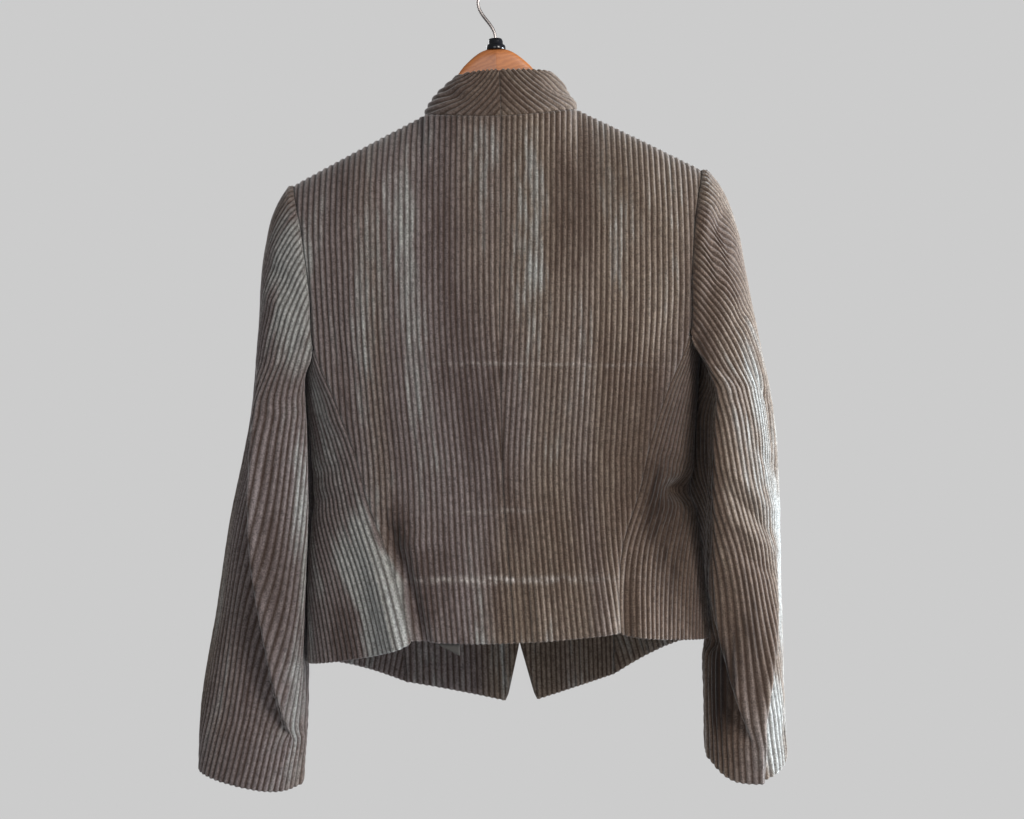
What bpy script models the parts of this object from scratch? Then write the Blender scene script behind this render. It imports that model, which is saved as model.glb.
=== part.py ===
"""Cropped wide-wale corduroy jacket with a stand collar, hung on a wooden hanger.

Metres, +Z up.  The origin is the inside top of the hanger's hook, where a rod carries it.  +X is the
wearer's right and +Y the way the wearer faces, so the back of the jacket looks along -Y.
Sizes and tables are written in millimetres and scaled once, where a mesh is made.
"""

import math

import bmesh
import bpy
import numpy as np

MM = 0.001
BACK = -1
FRONT = 1
LEFT = -1
RIGHT = 1
SIDE_NAMES = {LEFT: "left", RIGHT: "right"}

# Cloth
CLOTH = 2.0
WALE_PITCH = 5.5
WALE_HEIGHT = 0.6
SEAM_GAP = 0.3
EDGE_MERGE = 0.35
SETTLE_STEPS = 20
FACING_CLOTH = 1.4
TAB_CLOTH = 1.0

# Neck and shoulders, heights below the hook's inner top
NECK_HALF = 77.0
NECK_BACK = 42.0
NECK_FRONT = 50.0
NECK_SIDE_HEIGHT = -124.0
NECK_BACK_HEIGHT = -132.0
NECK_FRONT_HEIGHT = -195.0
SHOULDER_SLOPE = 0.52
SHOULDER_ROUND = 90.0
NECK_ROUND = 150.0
NECK_SWELL = 0.9
SHOULDER_SWELL = 0.5
SHOULDER_TURN = 30.0
SHOULDER_LEAN = math.radians(14.0)
FRONT_NECK_CURVE = 2.6
ARMPIT_HEIGHT = -356.0

# Hems
BACK_HEM_HEIGHT = -645.0
BACK_HEM_HALF = 102.0
BACK_HEM_RISE = 5.0
SIDE_HEM_HEIGHT = {LEFT: -665.0, RIGHT: -655.0}
SIDE_HEM_CURVE = {BACK: 0.7, FRONT: 3.0}
FRONT_POINT_HEIGHT = -726.0
FRONT_HEM_HALF = 110.0
FRONT_HEM_SLOPE = 0.27
FRONT_WEDGE_TOP = -663.0
FRONT_WEDGE_SLOPE = 0.25
FRONT_POINT_ROUND = 2.0
FRONT_POINT_REACH = 12.0
FACING_MARGIN = 2.0
TAB_EDGES = (54.0, 76.0)
TAB_BOTTOM = -656.0
TAB_TOP = -622.0

# Stand collar
COLLAR_TOP_HALF = 46.0
COLLAR_TOP_BACK = 28.0
COLLAR_TOP_FRONT = 40.0
COLLAR_RISE_BACK = 46.0
COLLAR_RISE_SIDE = 37.0
COLLAR_ROWS = (0.0, 0.33, 0.67, 1.0)
COLLAR_SIDE_EASE = 5.0
COLLAR_LEAN = math.radians(35.0)
COLLAR_WALE_ANGLE = math.radians(38.0)

# Hanger
WOOD_CHAMFER = 3.0
FERRULE_RADIUS = 10.0
FERRULE_BOTTOM = -61.7
FERRULE_TOP = -50.0
FERRULE_EDGE = 1.2
FERRULE_STEP = 1.6
HOOK_WIRE = 4.0
HOOK_RADIUS = 16.0
HOOK_PULL = 12.0
HOOK_LEAVE = math.radians(205.0)
HOOK_END = math.radians(-25.0)



class Table:
    """Rows of named columns, each column read as a smooth curve of the first one."""

    def __init__(self, columns, rows):
        data = np.array(sorted(rows), dtype=float)
        self.axis = data[:, 0]
        self.columns = dict(zip(columns.split(), data.T))
        self.slopes = {name: np.gradient(values, self.axis) for name, values in self.columns.items()}

    def at(self, name, place):
        """Value of a column at a place along the first column, held level past the ends."""
        values, slopes = self.columns[name], self.slopes[name]
        place = np.clip(place, self.axis[0], self.axis[-1])
        low = np.clip(np.searchsorted(self.axis, place) - 1, 0, len(self.axis) - 2)
        gap = self.axis[low + 1] - self.axis[low]
        t = (place - self.axis[low]) / gap
        start = (1 + 2 * t) * (1 - t) ** 2 * values[low] + t * (1 - t) ** 2 * gap * slopes[low]
        end = t * t * (3 - 2 * t) * values[low + 1] + t * t * (t - 1) * gap * slopes[low + 1]
        return start + end


# Body sections.  Three columns say how far the hung jacket sways across: its centre back, the middle
# between its sides, and its centre front.  The others are the half width at the side, the depths of the
# back and front at the centre, and where the back and front seams lie (above the armpit, the armhole).
BODY = Table(
    "height behind middle ahead side back back_seam back_seam_depth front front_seam front_seam_depth",
    (
        (-124, 3, -1, 3, 203, 62, 206, 56, 60, 206, 56),
        (-188, 0, -3, 2, 203, 62, 203, 56, 60, 203, 56),
        (-240, -2, -4, 2, 202, 71, 193, 58, 70, 193, 58),
        (-300, -5, -4, 1, 200, 77, 187, 58, 76, 187, 58),
        (-356, -7, -5, 1, 198, 78, 184, 55, 78, 184, 55),
        (-410, -8, -7, 0, 195, 73, 162, 56, 75, 160, 57),
        (-460, -9, -8, 0, 191, 65, 145, 51, 69, 144, 55),
        (-505, -9, -9, 0, 190, 61, 134, 51, 66, 136, 56),
        (-560, -7, -10, 0, 196, 71, 115, 62, 71, 124, 61),
        (-640, -4, -10, 1, 200, 86, 102, 78, 80, 112, 70),
        (-726, -4, -10, 1, 202, 92, 98, 84, 84, 108, 74),
    ),
)
BACK_CURVE = 2.4

# Cloth taken out along the centre back seam, which turns its wales into a V at the waist.
CENTRE_BACK = Table("height taken", ((-645, 0), (-560, 2), (-460, 9), (-360, 5), (-250, 1), (-132, 0)))

# Folds that open from the back seam towards the hem: distance from the seam, half width, height there.
HEM_FOLDS = {
    LEFT: ((-520, -13, 13, -6), (-520, 14, 14, 9)),
    RIGHT: ((-530, -18, 14, 4), (-530, 3, 12, -5), (-530, 26, 14, 5)),
}

# Sleeve sections: distances out from the middle of the jacket, half depth, place of the middle front to
# back, and the slope of the section from its inner to its outer edge.
SLEEVES = {
    LEFT: Table(
        "height inner outer depth middle slope",
        (
            (-188, 203, 208, 20, 0, 0),
            (-212, 203, 225, 40, 0, 0),
            (-252, 203, 238, 56, 0, 0),
            (-332, 204, 248, 60, 0, 0),
            (-412, 206, 259, 66, 2, 0),
            (-512, 208, 281, 62, 8, 0.05),
            (-612, 212, 301, 52, 14, 0.08),
            (-712, 215, 321, 40, 16, 0.11),
            (-785, 221, 326, 30, 14, 0.24),
        ),
    ),
    RIGHT: Table(
        "height inner outer depth middle slope",
        (
            (-188, 197, 202, 20, 0, 0),
            (-212, 198, 220, 40, 0, 0),
            (-252, 198, 238, 56, 0, 0),
            (-332, 198, 251, 60, 0, 0),
            (-412, 207, 260, 66, 2, 0),
            (-512, 200, 268, 62, 10, 0),
            (-612, 192, 268, 52, 20, -0.03),
            (-712, 186, 267, 40, 26, -0.06),
            (-795, 182, 266, 32, 24, -0.08),
        ),
    ),
}
SLEEVE_CLEARANCE = 1.7
SLEEVE_MORPH = 75.0
SLEEVE_ROWS = (-370, -415, -485, -560, -635, -700, -742)
CUFF_HEIGHT = {LEFT: -790.0, RIGHT: -802.0}
CUFF_INNER_LIFT = {LEFT: 15.0, RIGHT: 18.0}
CUFF_OUTER_LIFT = {LEFT: 3.0, RIGHT: 18.0}
CUFF_LIFT_REACH = 80.0
UNDERARM_HEIGHT = ARMPIT_HEIGHT + 1.5
CAP_TOP_HEIGHT = -188.8
CAP_ROUND = 60.0

# The deep fold down the back of each sleeve: its line out from the middle, and the step across it.
SLEEVE_FOLDS = {
    LEFT: Table(
        "height line step",
        ((-735, 230, 0), (-690, 238, 7), (-610, 247, 9), (-510, 255, 7), (-420, 253, 0)),
    ),
    RIGHT: Table(
        "height line step",
        ((-735, 228, 0), (-690, 214, -7), (-640, 204, -8), (-560, 196, -4), (-500, 194, 0)),
    ),
}
SLEEVE_FOLD_WIDTH = 8.0

# Rows of a body panel: 0 is the hem, 0.5 the armpit and 1 the shoulder or neck seam.
LOWER_ROWS = (0.0, 0.07, 0.16, 0.25, 0.36, 0.5)
UPPER_ROWS = (0.53, 0.71, 0.87, 0.967, 1.0)

# Wooden hanger: distance out from its middle, top and bottom, half thickness.
WOOD = (
    (0, -62.0, -104, 8),
    (11, -62.5, -106, 8),
    (27, -72.5, -112, 8),
    (37, -83.0, -118, 8),
    (46, -98.5, -126, 8),
    (62, -119.5, -142, 8),
    (74, -135.0, -155, 8),
    (90, -139.0, -161, 8),
    (138, -160.9, -182, 8),
    (188, -187.7, -204, 8),
)

CORDUROY = ("corduroy", (0.100, 0.081, 0.071), 0.88, 0.0)
TAB_COTTON = ("tab_cotton", (0.42, 0.41, 0.39), 0.85, 0.0)
WOOD_FINISH = ("hanger_wood", (0.48, 0.17, 0.045), 0.42, 0.0)
BLACK_PLASTIC = ("ferrule_black", (0.012, 0.012, 0.014), 0.25, 0.0)
STEEL = ("hook_steel", (0.60, 0.57, 0.55), 0.30, 1.0)


def unit(vectors):
    """Vectors of length one."""
    return vectors / np.linalg.norm(vectors, axis=-1, keepdims=True)


def points(x, y, z):
    """One array of points from three arrays of coordinates."""
    return np.stack(np.broadcast_arrays(x, y, z), axis=-1).astype(float)


def ease(t):
    """Smooth step from 0 to 1."""
    t = np.clip(t, 0.0, 1.0)
    return t * t * (3.0 - 2.0 * t)


def new_material(finish):
    """Principled material of a finish, shared by the pieces that have it."""
    name, colour, roughness, metallic = finish
    material = bpy.data.materials.get(name)
    if material is None:
        material = bpy.data.materials.new(name)
        material.use_nodes = True
        shader = material.node_tree.nodes["Principled BSDF"]
        shader.inputs["Base Color"].default_value = (*colour, 1.0)
        shader.inputs["Roughness"].default_value = roughness
        shader.inputs["Metallic"].default_value = metallic
    return material


def add_object(name, data, finish, parent, origin=(0.0, 0.0, 0.0)):
    """Link a mesh or curve as a named piece under the parent, placed at its own origin."""
    piece = bpy.data.objects.new(name, data)
    piece.location = [value * MM for value in origin]
    piece.parent = parent
    data.materials.append(new_material(finish))
    bpy.context.collection.objects.link(piece)
    return piece


def add_solid(name, vertices, faces, finish, parent, origin):
    """Make one closed solid from points in millimetres and its faces."""
    mesh = bpy.data.meshes.new(name)
    body = bmesh.new()
    corners = [body.verts.new((np.array(vertex) - origin) * MM) for vertex in vertices]
    for face in faces:
        body.faces.new([corners[index] for index in face])
    bmesh.ops.recalc_face_normals(body, faces=body.faces)
    bmesh.ops.triangulate(body, faces=body.faces)
    body.to_mesh(mesh)
    body.free()
    mesh.shade_smooth()
    return add_object(name, mesh, finish, parent, origin)


def zip_edges(outer, inner, outer_at, inner_at):
    """Triangles that close the rim between two rows of points running side by side."""
    faces = []
    i = j = 0
    while i < len(outer) - 1 or j < len(inner) - 1:
        step_outer = j == len(inner) - 1
        if not step_outer and i < len(outer) - 1:
            step_outer = outer_at[i + 1] <= inner_at[j + 1]
        if step_outer:
            faces.append((outer[i], outer[i + 1], inner[j]))
            i += 1
        else:
            faces.append((outer[i], inner[j + 1], inner[j]))
            j += 1
    return faces


class Wall:
    """A cloth wall: wales raised on its outer face, a plain inner face, and rims all round."""

    def __init__(self, place, span, rows, pitch=WALE_PITCH, inside=2, lean=None, cloth=CLOTH, ribbed=None):
        self.place = place
        self.span = span
        self.rows = rows
        self.pitch = pitch
        self.inside = inside
        self.lean = lean or (lambda row: 0.0)
        self.cloth = cloth
        self.ribbed = ribbed or (lambda row: True)
        self.vertices = []
        self.faces = []

    def grid(self, step, raised):
        """Points of one face: columns run along the wales and end where an edge cuts them."""
        spans = [self.span(row) for row in self.rows]
        leans = [self.lean(row) for row in self.rows]
        first = math.floor(min(low - lean for (low, _), lean in zip(spans, leans)) / step) - 1
        last = math.ceil(max(high - lean for (_, high), lean in zip(spans, leans)) / step) + 1
        numbers = np.arange(first, last + 1)
        grid, rims = [], []
        for row, (low, high), lean in zip(self.rows, spans, leans):
            at = numbers * step + lean
            margin = EDGE_MERGE * step
            inside = (at > low + margin) & (at < high - margin)
            at = np.where(at <= low + margin, low, np.where(at >= high - margin, high, at))
            base, out = self.place(at, row)
            rib = WALE_HEIGHT if self.ribbed(row) else 0.0
            ridge = np.where(inside & (numbers % 2 == 0), rib, 0.0)
            height = ridge if raised else np.full(len(at), -self.cloth)
            surface = base + out * height[:, None]
            ids, last_at = [], None
            for where, point in zip(at, surface):
                if last_at is None or where != last_at:
                    self.vertices.append(point)
                    last_at = where
                ids.append(len(self.vertices) - 1)
            grid.append(ids)
            rims.append((at - low) / (high - low))
        return grid, rims

    def skin(self, grid):
        """Faces between neighbouring rows and columns, with ended columns closed to a point."""
        for lower, upper in zip(grid, grid[1:]):
            for i in range(len(lower) - 1):
                corners = (lower[i], lower[i + 1], upper[i + 1], upper[i])
                face = tuple(dict.fromkeys(corners))
                if len(face) > 2:
                    self.faces.append(face)

    def build(self):
        """Work out both faces and the four rims."""
        outer, outer_at = self.grid(self.pitch / 2, True)
        inner, inner_at = self.grid(self.pitch * self.inside, False)
        self.skin(outer)
        self.skin(inner)
        for end in (0, -1):
            rims = []
            for grid, at in ((outer, outer_at), (inner, inner_at)):
                ids = list(dict.fromkeys(grid[end]))
                firsts = [grid[end].index(vertex) for vertex in ids]
                rims.append((ids, [at[end][k] for k in firsts]))
            (outer_ids, outer_places), (inner_ids, inner_places) = rims
            self.faces += zip_edges(outer_ids, inner_ids, outer_places, inner_places)
        for end in (0, -1):
            for row in range(len(self.rows) - 1):
                edge = (outer[row][end], outer[row + 1][end], inner[row + 1][end], inner[row][end])
                self.faces.append(edge)
        return self

    def make(self, name, finish, parent, origin=(0.0, 0.0, 0.0)):
        """Turn the wall into a named piece."""
        self.build()
        return add_solid(name, self.vertices, self.faces, finish, parent, np.array(origin))


def top_edge(face, d):
    """Depth and height of the neck and shoulder seam at a distance from the centre line."""
    across = np.clip(d / NECK_HALF, 0.0, 1.0)
    oval = np.sqrt(1.0 - across ** 2)
    if face == BACK:
        depth = NECK_BACK * oval
        neck = NECK_BACK_HEIGHT + (NECK_SIDE_HEIGHT - NECK_BACK_HEIGHT) * across ** 2
    else:
        depth = NECK_FRONT * oval
        neck = NECK_FRONT_HEIGHT + (NECK_SIDE_HEIGHT - NECK_FRONT_HEIGHT) * across ** FRONT_NECK_CURVE
    height = neck - SHOULDER_SLOPE * np.maximum(d - NECK_HALF, 0.0)
    return np.maximum(depth, SEAM_GAP / 2), height


def neck_direction(side, face, across):
    """Outward direction of the cloth at the neck seam, which leans in towards the neck."""
    level = math.cos(COLLAR_LEAN)
    oval = np.sqrt(1.0 - across ** 2)
    return points(side * across * level, face * oval * level, math.sin(COLLAR_LEAN))


def hem_fold(side, height, from_seam):
    """How far the flared folds beside the back seam stand out."""
    out = np.zeros(np.broadcast(height, from_seam).shape)
    for start, place, width, rise in HEM_FOLDS[side]:
        grow = ease((start - height) / (start - BACK_HEM_HEIGHT))
        out = out + rise * grow * np.exp(-(((from_seam - place) / width) ** 2))
    return out


def column(face, name):
    """Name of a body column on the back or the front."""
    start = "back" if face == BACK else "front"
    return start + name


def sway(face, d, height):
    """How far the hung jacket swings across, from its centre line out to its seam."""
    centre = BODY.at("behind" if face == BACK else "ahead", height)
    seam = BODY.at(column(face, "_seam"), height)
    return centre + (BODY.at("middle", height) - centre) * np.clip(d / seam, 0.0, 1.0) ** 2


def body_place(side, face, d, height):
    """Point and outward direction of the back or front at a distance from the centre line."""
    seam = BODY.at(column(face, "_seam"), height)
    seam_depth = BODY.at(column(face, "_seam_depth"), height)
    centre_depth = BODY.at(column(face, ""), height)
    full = seam_depth + (centre_depth - seam_depth) * (1.0 - np.clip(d / seam, 0.0, 1.0) ** BACK_CURVE)
    top_depth, top_height = top_edge(face, d)
    outside_neck = ease((d - NECK_HALF / 2) / (1.5 * NECK_HALF))
    reach = NECK_ROUND + (SHOULDER_ROUND - NECK_ROUND) * outside_neck
    power = NECK_SWELL + (SHOULDER_SWELL - NECK_SWELL) * outside_neck
    below = np.clip((top_height - height) / reach, 0.0, 1.0)
    depth = top_depth + (full - top_depth) * (1.0 - (1.0 - below) ** 2) ** power
    half = BODY.at("side", height)
    ring = unit(points(side * d / half ** 2, face * full / centre_depth ** 2, 0.0 * d))
    across = np.clip(d / NECK_HALF, 0.0, 1.0)
    past = ease((d - NECK_HALF) / SHOULDER_TURN)[..., None]
    shoulder = points(side * math.sin(SHOULDER_LEAN), 0.0, math.cos(SHOULDER_LEAN))
    top = neck_direction(side, face, across) * (1.0 - past) + shoulder * past
    near_top = ((1.0 - below) ** 2)[..., None]
    out = unit(ring * (1.0 - near_top) + top * near_top)
    place = points(sway(face, d, height) + side * d, face * depth, height)
    if face == BACK:
        place = place + out * hem_fold(side, height, d - seam)[..., None]
    return place, out


def hem_height(face, d):
    """Height of the back or front hem."""
    if face == BACK:
        return BACK_HEM_HEIGHT + BACK_HEM_RISE * np.clip(d / BACK_HEM_HALF, 0.0, 1.0) ** 2
    return FRONT_POINT_HEIGHT + FRONT_HEM_SLOPE * np.minimum(d, FRONT_HEM_HALF)


def row_height(row, hem, top):
    """Height of a body row between the hem, the armpit and the top seam."""
    below = hem + (ARMPIT_HEIGHT - hem) * row / 0.5
    above = ARMPIT_HEIGHT + (top - ARMPIT_HEIGHT) * (row - 0.5) / 0.5
    return below if row < 0.5 else above


def panel_height(face, d, row):
    """Height of a row of a back or front panel at a distance from the centre line."""
    return row_height(row, hem_height(face, d), top_edge(face, d)[1])


def panel_edge(face, row):
    """Distance of the panel's seam or armhole edge from the centre line."""
    d = np.array(190.0)
    for _ in range(SETTLE_STEPS):
        d = BODY.at(column(face, "_seam"), panel_height(face, d, row))
    return float(d)


def front_opening(row):
    """Half the gap between the fronts, which part in a wedge below their last fastening."""
    d = np.array(SEAM_GAP / 2)
    for _ in range(SETTLE_STEPS):
        height = panel_height(FRONT, d, row)
        wedge = FRONT_WEDGE_SLOPE * np.maximum(FRONT_WEDGE_TOP - height, 0.0)
        near_tip = ease((FRONT_POINT_HEIGHT + FRONT_POINT_REACH - height) / FRONT_POINT_REACH)
        d = SEAM_GAP / 2 + wedge + FRONT_POINT_ROUND * near_tip
    return float(d)


def body_panel(side, face):
    """Wall of one half of the back, or of one front."""
    def place(d, row):
        return body_place(side, face, d, panel_height(face, d, row))

    def span(row):
        low = SEAM_GAP / 2 if face == BACK else front_opening(row)
        return low, panel_edge(face, row) - SEAM_GAP / 2

    def lean(row):
        return -CENTRE_BACK.at("taken", panel_height(BACK, 0.0, row)) if face == BACK else 0.0

    rows = LOWER_ROWS + UPPER_ROWS
    return Wall(place, span, rows, lean=lean, ribbed=lambda row: row < 1.0)


class SideRing:
    """The side of the jacket at one row, from the back seam round to the front seam."""

    def __init__(self, side, row):
        self.side = side
        self.turn = np.linspace(0.0, math.pi, 121)
        seam_hems = hem_height(BACK, BACK_HEM_HALF), hem_height(FRONT, FRONT_HEM_HALF)
        seam_hem = np.where(self.turn < math.pi / 2, *seam_hems)
        back_rise = 1.0 - np.sin(self.turn) ** SIDE_HEM_CURVE[BACK]
        front_rise = np.abs(np.cos(self.turn)) ** SIDE_HEM_CURVE[FRONT]
        rise = np.where(self.turn < math.pi / 2, back_rise, front_rise)
        hem = SIDE_HEM_HEIGHT[side] + (seam_hem - SIDE_HEM_HEIGHT[side]) * rise
        self.height = row_height(row, hem, np.full(hem.shape, ARMPIT_HEIGHT))
        half = BODY.at("side", self.height)
        behind = self.turn < math.pi / 2
        seam = np.where(behind, BODY.at("back_seam", self.height), BODY.at("front_seam", self.height))
        depth = np.where(
            behind, BODY.at("back_seam_depth", self.height), BODY.at("front_seam_depth", self.height)
        )
        self.reach = seam + (half - seam) * np.sin(self.turn) ** 2
        self.depth = -depth * np.cos(self.turn)
        self.half = half
        steps = np.hypot(np.diff(self.reach), np.diff(self.depth))
        self.length = np.concatenate(([0.0], np.cumsum(steps)))

    def at(self, d):
        """Point and outward direction at a length from the back seam."""
        turn = np.interp(d, self.length, self.turn)
        reach = np.interp(turn, self.turn, self.reach)
        depth = np.interp(turn, self.turn, self.depth)
        height = np.interp(turn, self.turn, self.height)
        half = np.interp(turn, self.turn, self.half)
        centre = np.where(depth < 0, BODY.at("back", height), BODY.at("front", height))
        out = unit(points(self.side * reach / half ** 2, depth / centre ** 2, 0.0 * d))
        place = points(BODY.at("middle", height) + self.side * reach, depth, height)
        return place + out * hem_fold(self.side, height, d)[..., None], out


def side_panel(side):
    """Wall of the panel under the arm, its wales parallel to the back seam."""
    rings = {row: SideRing(side, row) for row in LOWER_ROWS}

    def place(d, row):
        return rings[row].at(d)

    def span(row):
        return SEAM_GAP / 2, rings[row].length[-1] - SEAM_GAP / 2

    return Wall(place, span, LOWER_ROWS, ribbed=lambda row: row < 0.5)


class SleeveRing:
    """One section of a sleeve: an arch over the armhole above the armpit, a full round below it."""

    def __init__(self, side, height):
        self.side = side
        self.height = height
        table = SLEEVES[side]
        self.is_open = height > UNDERARM_HEIGHT
        quarter = math.pi / 2
        limit = quarter if self.is_open else math.pi
        self.turn = np.linspace(-limit, limit, 241)
        inner, outer = table.at("inner", height), table.at("outer", height)
        arm_height = max(height, ARMPIT_HEIGHT)
        seam = BODY.at("back_seam", arm_height)
        edge = seam + side * BODY.at("middle", arm_height) + SEAM_GAP
        back = -body_place(side, BACK, seam, arm_height)[0][1]
        front = body_place(side, FRONT, seam, arm_height)[0][1]
        depth = np.where(self.turn > 0, back, front)
        behind = np.abs(self.turn) > quarter
        bulge = BODY.at("side", ARMPIT_HEIGHT) + side * BODY.at("middle", ARMPIT_HEIGHT) - edge
        past = np.clip(np.abs(self.turn) - quarter, 0.0, quarter)
        clear = SLEEVE_CLEARANCE * np.sin(past)
        reach_under = edge + bulge * np.sin(past) ** 2 + clear
        reach_arm = np.where(behind, reach_under, edge + (outer - edge) * np.cos(self.turn))
        depth_arm = -np.sin(self.turn) * depth
        middle = (inner + outer) / 2
        reach_round = middle + (outer - inner) / 2 * np.cos(self.turn)
        depth_round = table.at("middle", height) - table.at("depth", height) * np.sin(self.turn)
        morph = ease((ARMPIT_HEIGHT - height) / SLEEVE_MORPH)
        self.reach = reach_arm + (reach_round - reach_arm) * morph
        self.depth = depth_arm + (depth_round - depth_arm) * morph
        self.middle = middle
        self.slope = table.at("slope", height)
        steps = np.hypot(np.diff(self.reach), np.diff(self.depth))
        length = np.concatenate(([0.0], np.cumsum(steps)))
        self.length = length - np.interp(0.0, self.turn, length)

    def at(self, d):
        """Point and outward direction at a length from the outer line, backwards being positive."""
        turn = np.interp(d, self.length, self.turn)
        reach = np.interp(turn, self.turn, self.reach)
        depth = np.interp(turn, self.turn, self.depth)
        cap = (1.0 - np.clip((CAP_TOP_HEIGHT - self.height) / CAP_ROUND, 0.0, 1.0)) ** 2
        level = 1.0 - cap
        out = unit(points(self.side * np.cos(turn) * level, -np.sin(turn) * level, cap + 0.0 * d))
        along = np.cos(turn)
        corner = np.where(along > 0, CUFF_OUTER_LIFT[self.side], CUFF_INNER_LIFT[self.side])
        near_cuff = ease((CUFF_HEIGHT[self.side] + CUFF_LIFT_REACH - self.height) / CUFF_LIFT_REACH)
        height = self.height + self.slope * (reach - self.middle) + corner * near_cuff * along ** 4
        place = points(self.side * reach, depth, height)
        folds = SLEEVE_FOLDS[self.side]
        step = folds.at("step", self.height)
        across = np.tanh((folds.at("line", self.height) - reach) / SLEEVE_FOLD_WIDTH)
        on_back = np.clip(np.sin(turn), 0.0, 1.0)
        return place + out * (0.5 * step * across * on_back)[..., None], out


def sleeve(side):
    """Wall of a one-piece set-in sleeve, open along its underarm seam by the seam gap."""
    open_rows = [panel_height(BACK, panel_edge(BACK, row), row) for row in UPPER_ROWS[:-1]]
    heights = [CUFF_HEIGHT[side]] + sorted(SLEEVE_ROWS) + [UNDERARM_HEIGHT]
    heights += [float(height) for height in open_rows] + [CAP_TOP_HEIGHT]
    rings = {height: SleeveRing(side, height) for height in heights}

    def place(d, row):
        return rings[row].at(d)

    def span(row):
        return rings[row].length[0] + SEAM_GAP / 2, rings[row].length[-1] - SEAM_GAP / 2

    return Wall(place, span, heights)


class CollarHalf:
    """Half of the stand collar, from the centre back to the centre front."""

    def __init__(self, side):
        self.side = side
        self.turn = np.linspace(0.0, math.pi, 181)
        base = self.rail(self.turn, 0.0)
        steps = np.linalg.norm(np.diff(base, axis=0), axis=1)
        self.length = np.concatenate(([0.0], np.cumsum(steps)))

    def rail(self, turn, up):
        """Line round the collar at a share of its height, before its cloth has any thickness."""
        across, along = np.sin(turn), np.cos(turn)
        behind = along > 0
        back_seam, front_seam = (top_edge(face, NECK_HALF * across)[1] for face in (BACK, FRONT))
        base_height = np.where(behind, back_seam, front_seam)
        base_depth = np.where(behind, NECK_BACK, NECK_FRONT)
        top_depth = np.where(behind, COLLAR_TOP_BACK, COLLAR_TOP_FRONT)
        rise = COLLAR_RISE_SIDE + (COLLAR_RISE_BACK - COLLAR_RISE_SIDE) * along ** 2
        half = NECK_HALF + (COLLAR_TOP_HALF - NECK_HALF) * up
        depth = base_depth + (top_depth - base_depth) * up
        back_sway, front_sway = (sway(face, NECK_HALF * across, base_height) for face in (BACK, FRONT))
        shift = np.where(behind, back_sway, front_sway)
        height = base_height + SEAM_GAP * (1.0 + COLLAR_SIDE_EASE * across ** 2) + rise * up
        return points(shift + self.side * half * across, -depth * along, height)

    def at(self, d, up):
        """Point and outward direction at a length from the centre back."""
        turn = np.interp(d, self.length, self.turn)
        across = np.sin(turn)
        behind = neck_direction(self.side, BACK, across)
        ahead = neck_direction(self.side, FRONT, across)
        return self.rail(turn, up), np.where((np.cos(turn) > 0)[..., None], behind, ahead)


def collar_half(side):
    """Wall of half the collar, its wales falling away from the centre back in a chevron."""
    half = CollarHalf(side)
    run = COLLAR_RISE_BACK / math.tan(COLLAR_WALE_ANGLE)
    pitch = WALE_PITCH / math.sin(COLLAR_WALE_ANGLE)

    def span(_row):
        return SEAM_GAP / 2, half.length[-1] - SEAM_GAP / 2

    def lean(up):
        return -run * up

    return Wall(half.at, span, COLLAR_ROWS, pitch=pitch, inside=1, lean=lean, ribbed=lambda up: up > 0.0)


def hem_facing(side):
    """Wall of the corduroy facing inside the pointed hem of a front."""
    inset = CLOTH + SEAM_GAP + FACING_CLOTH

    def place(d, row):
        base, out = body_place(side, FRONT, d, panel_height(FRONT, d, row))
        return base - out * inset, -out

    def span(row):
        return front_opening(row) + FACING_MARGIN, panel_edge(FRONT, row) - FACING_MARGIN

    return Wall(place, span, LOWER_ROWS[:3], cloth=FACING_CLOTH)


def hem_tab():
    """Wall of the small plain tab of cloth that hangs inside the left of the back hem."""
    inset = CLOTH + TAB_CLOTH + 4.0 * SEAM_GAP

    def place(d, row):
        height = TAB_BOTTOM + (TAB_TOP - TAB_BOTTOM) * row
        base, out = body_place(LEFT, BACK, d, np.full(d.shape, TAB_TOP))
        level = unit(out * np.array((1.0, 1.0, 0.0)))
        flare = body_place(LEFT, BACK, d, np.full(d.shape, max(height, BACK_HEM_HEIGHT)))[0] - base
        base = base + flare * np.array((1.0, 1.0, 0.0))
        base[:, 2] = height
        return base - level * inset, -level

    rows = (0.0, 0.35, 0.7, 1.0)
    return Wall(place, lambda row: TAB_EDGES, rows, cloth=TAB_CLOTH, ribbed=lambda row: False)


def hanger_wood(parent):
    """Loft the hanger's two arms through chamfered sections."""
    sections = [(-d, top, bottom, half) for d, top, bottom, half in WOOD[:0:-1]] + list(WOOD)
    vertices, faces = [], []
    for d, top, bottom, half in sections:
        flat = half - WOOD_CHAMFER
        outline = (
            (-flat, top), (flat, top), (half, top - WOOD_CHAMFER), (half, bottom + WOOD_CHAMFER),
            (flat, bottom), (-flat, bottom), (-half, bottom + WOOD_CHAMFER), (-half, top - WOOD_CHAMFER),
        )
        vertices += [(d, y, z) for y, z in outline]
    count = 8
    for ring in range(len(sections) - 1):
        for k in range(count):
            low, high = ring * count, (ring + 1) * count
            following = (k + 1) % count
            faces.append((low + k, low + following, high + following, high + k))
    faces.append(tuple(range(count)))
    faces.append(tuple(range(len(vertices) - count, len(vertices))))
    apex = np.array((0.0, 0.0, WOOD[0][1]))
    return add_solid("hanger_wood", vertices, faces, WOOD_FINISH, parent, apex)


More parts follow.
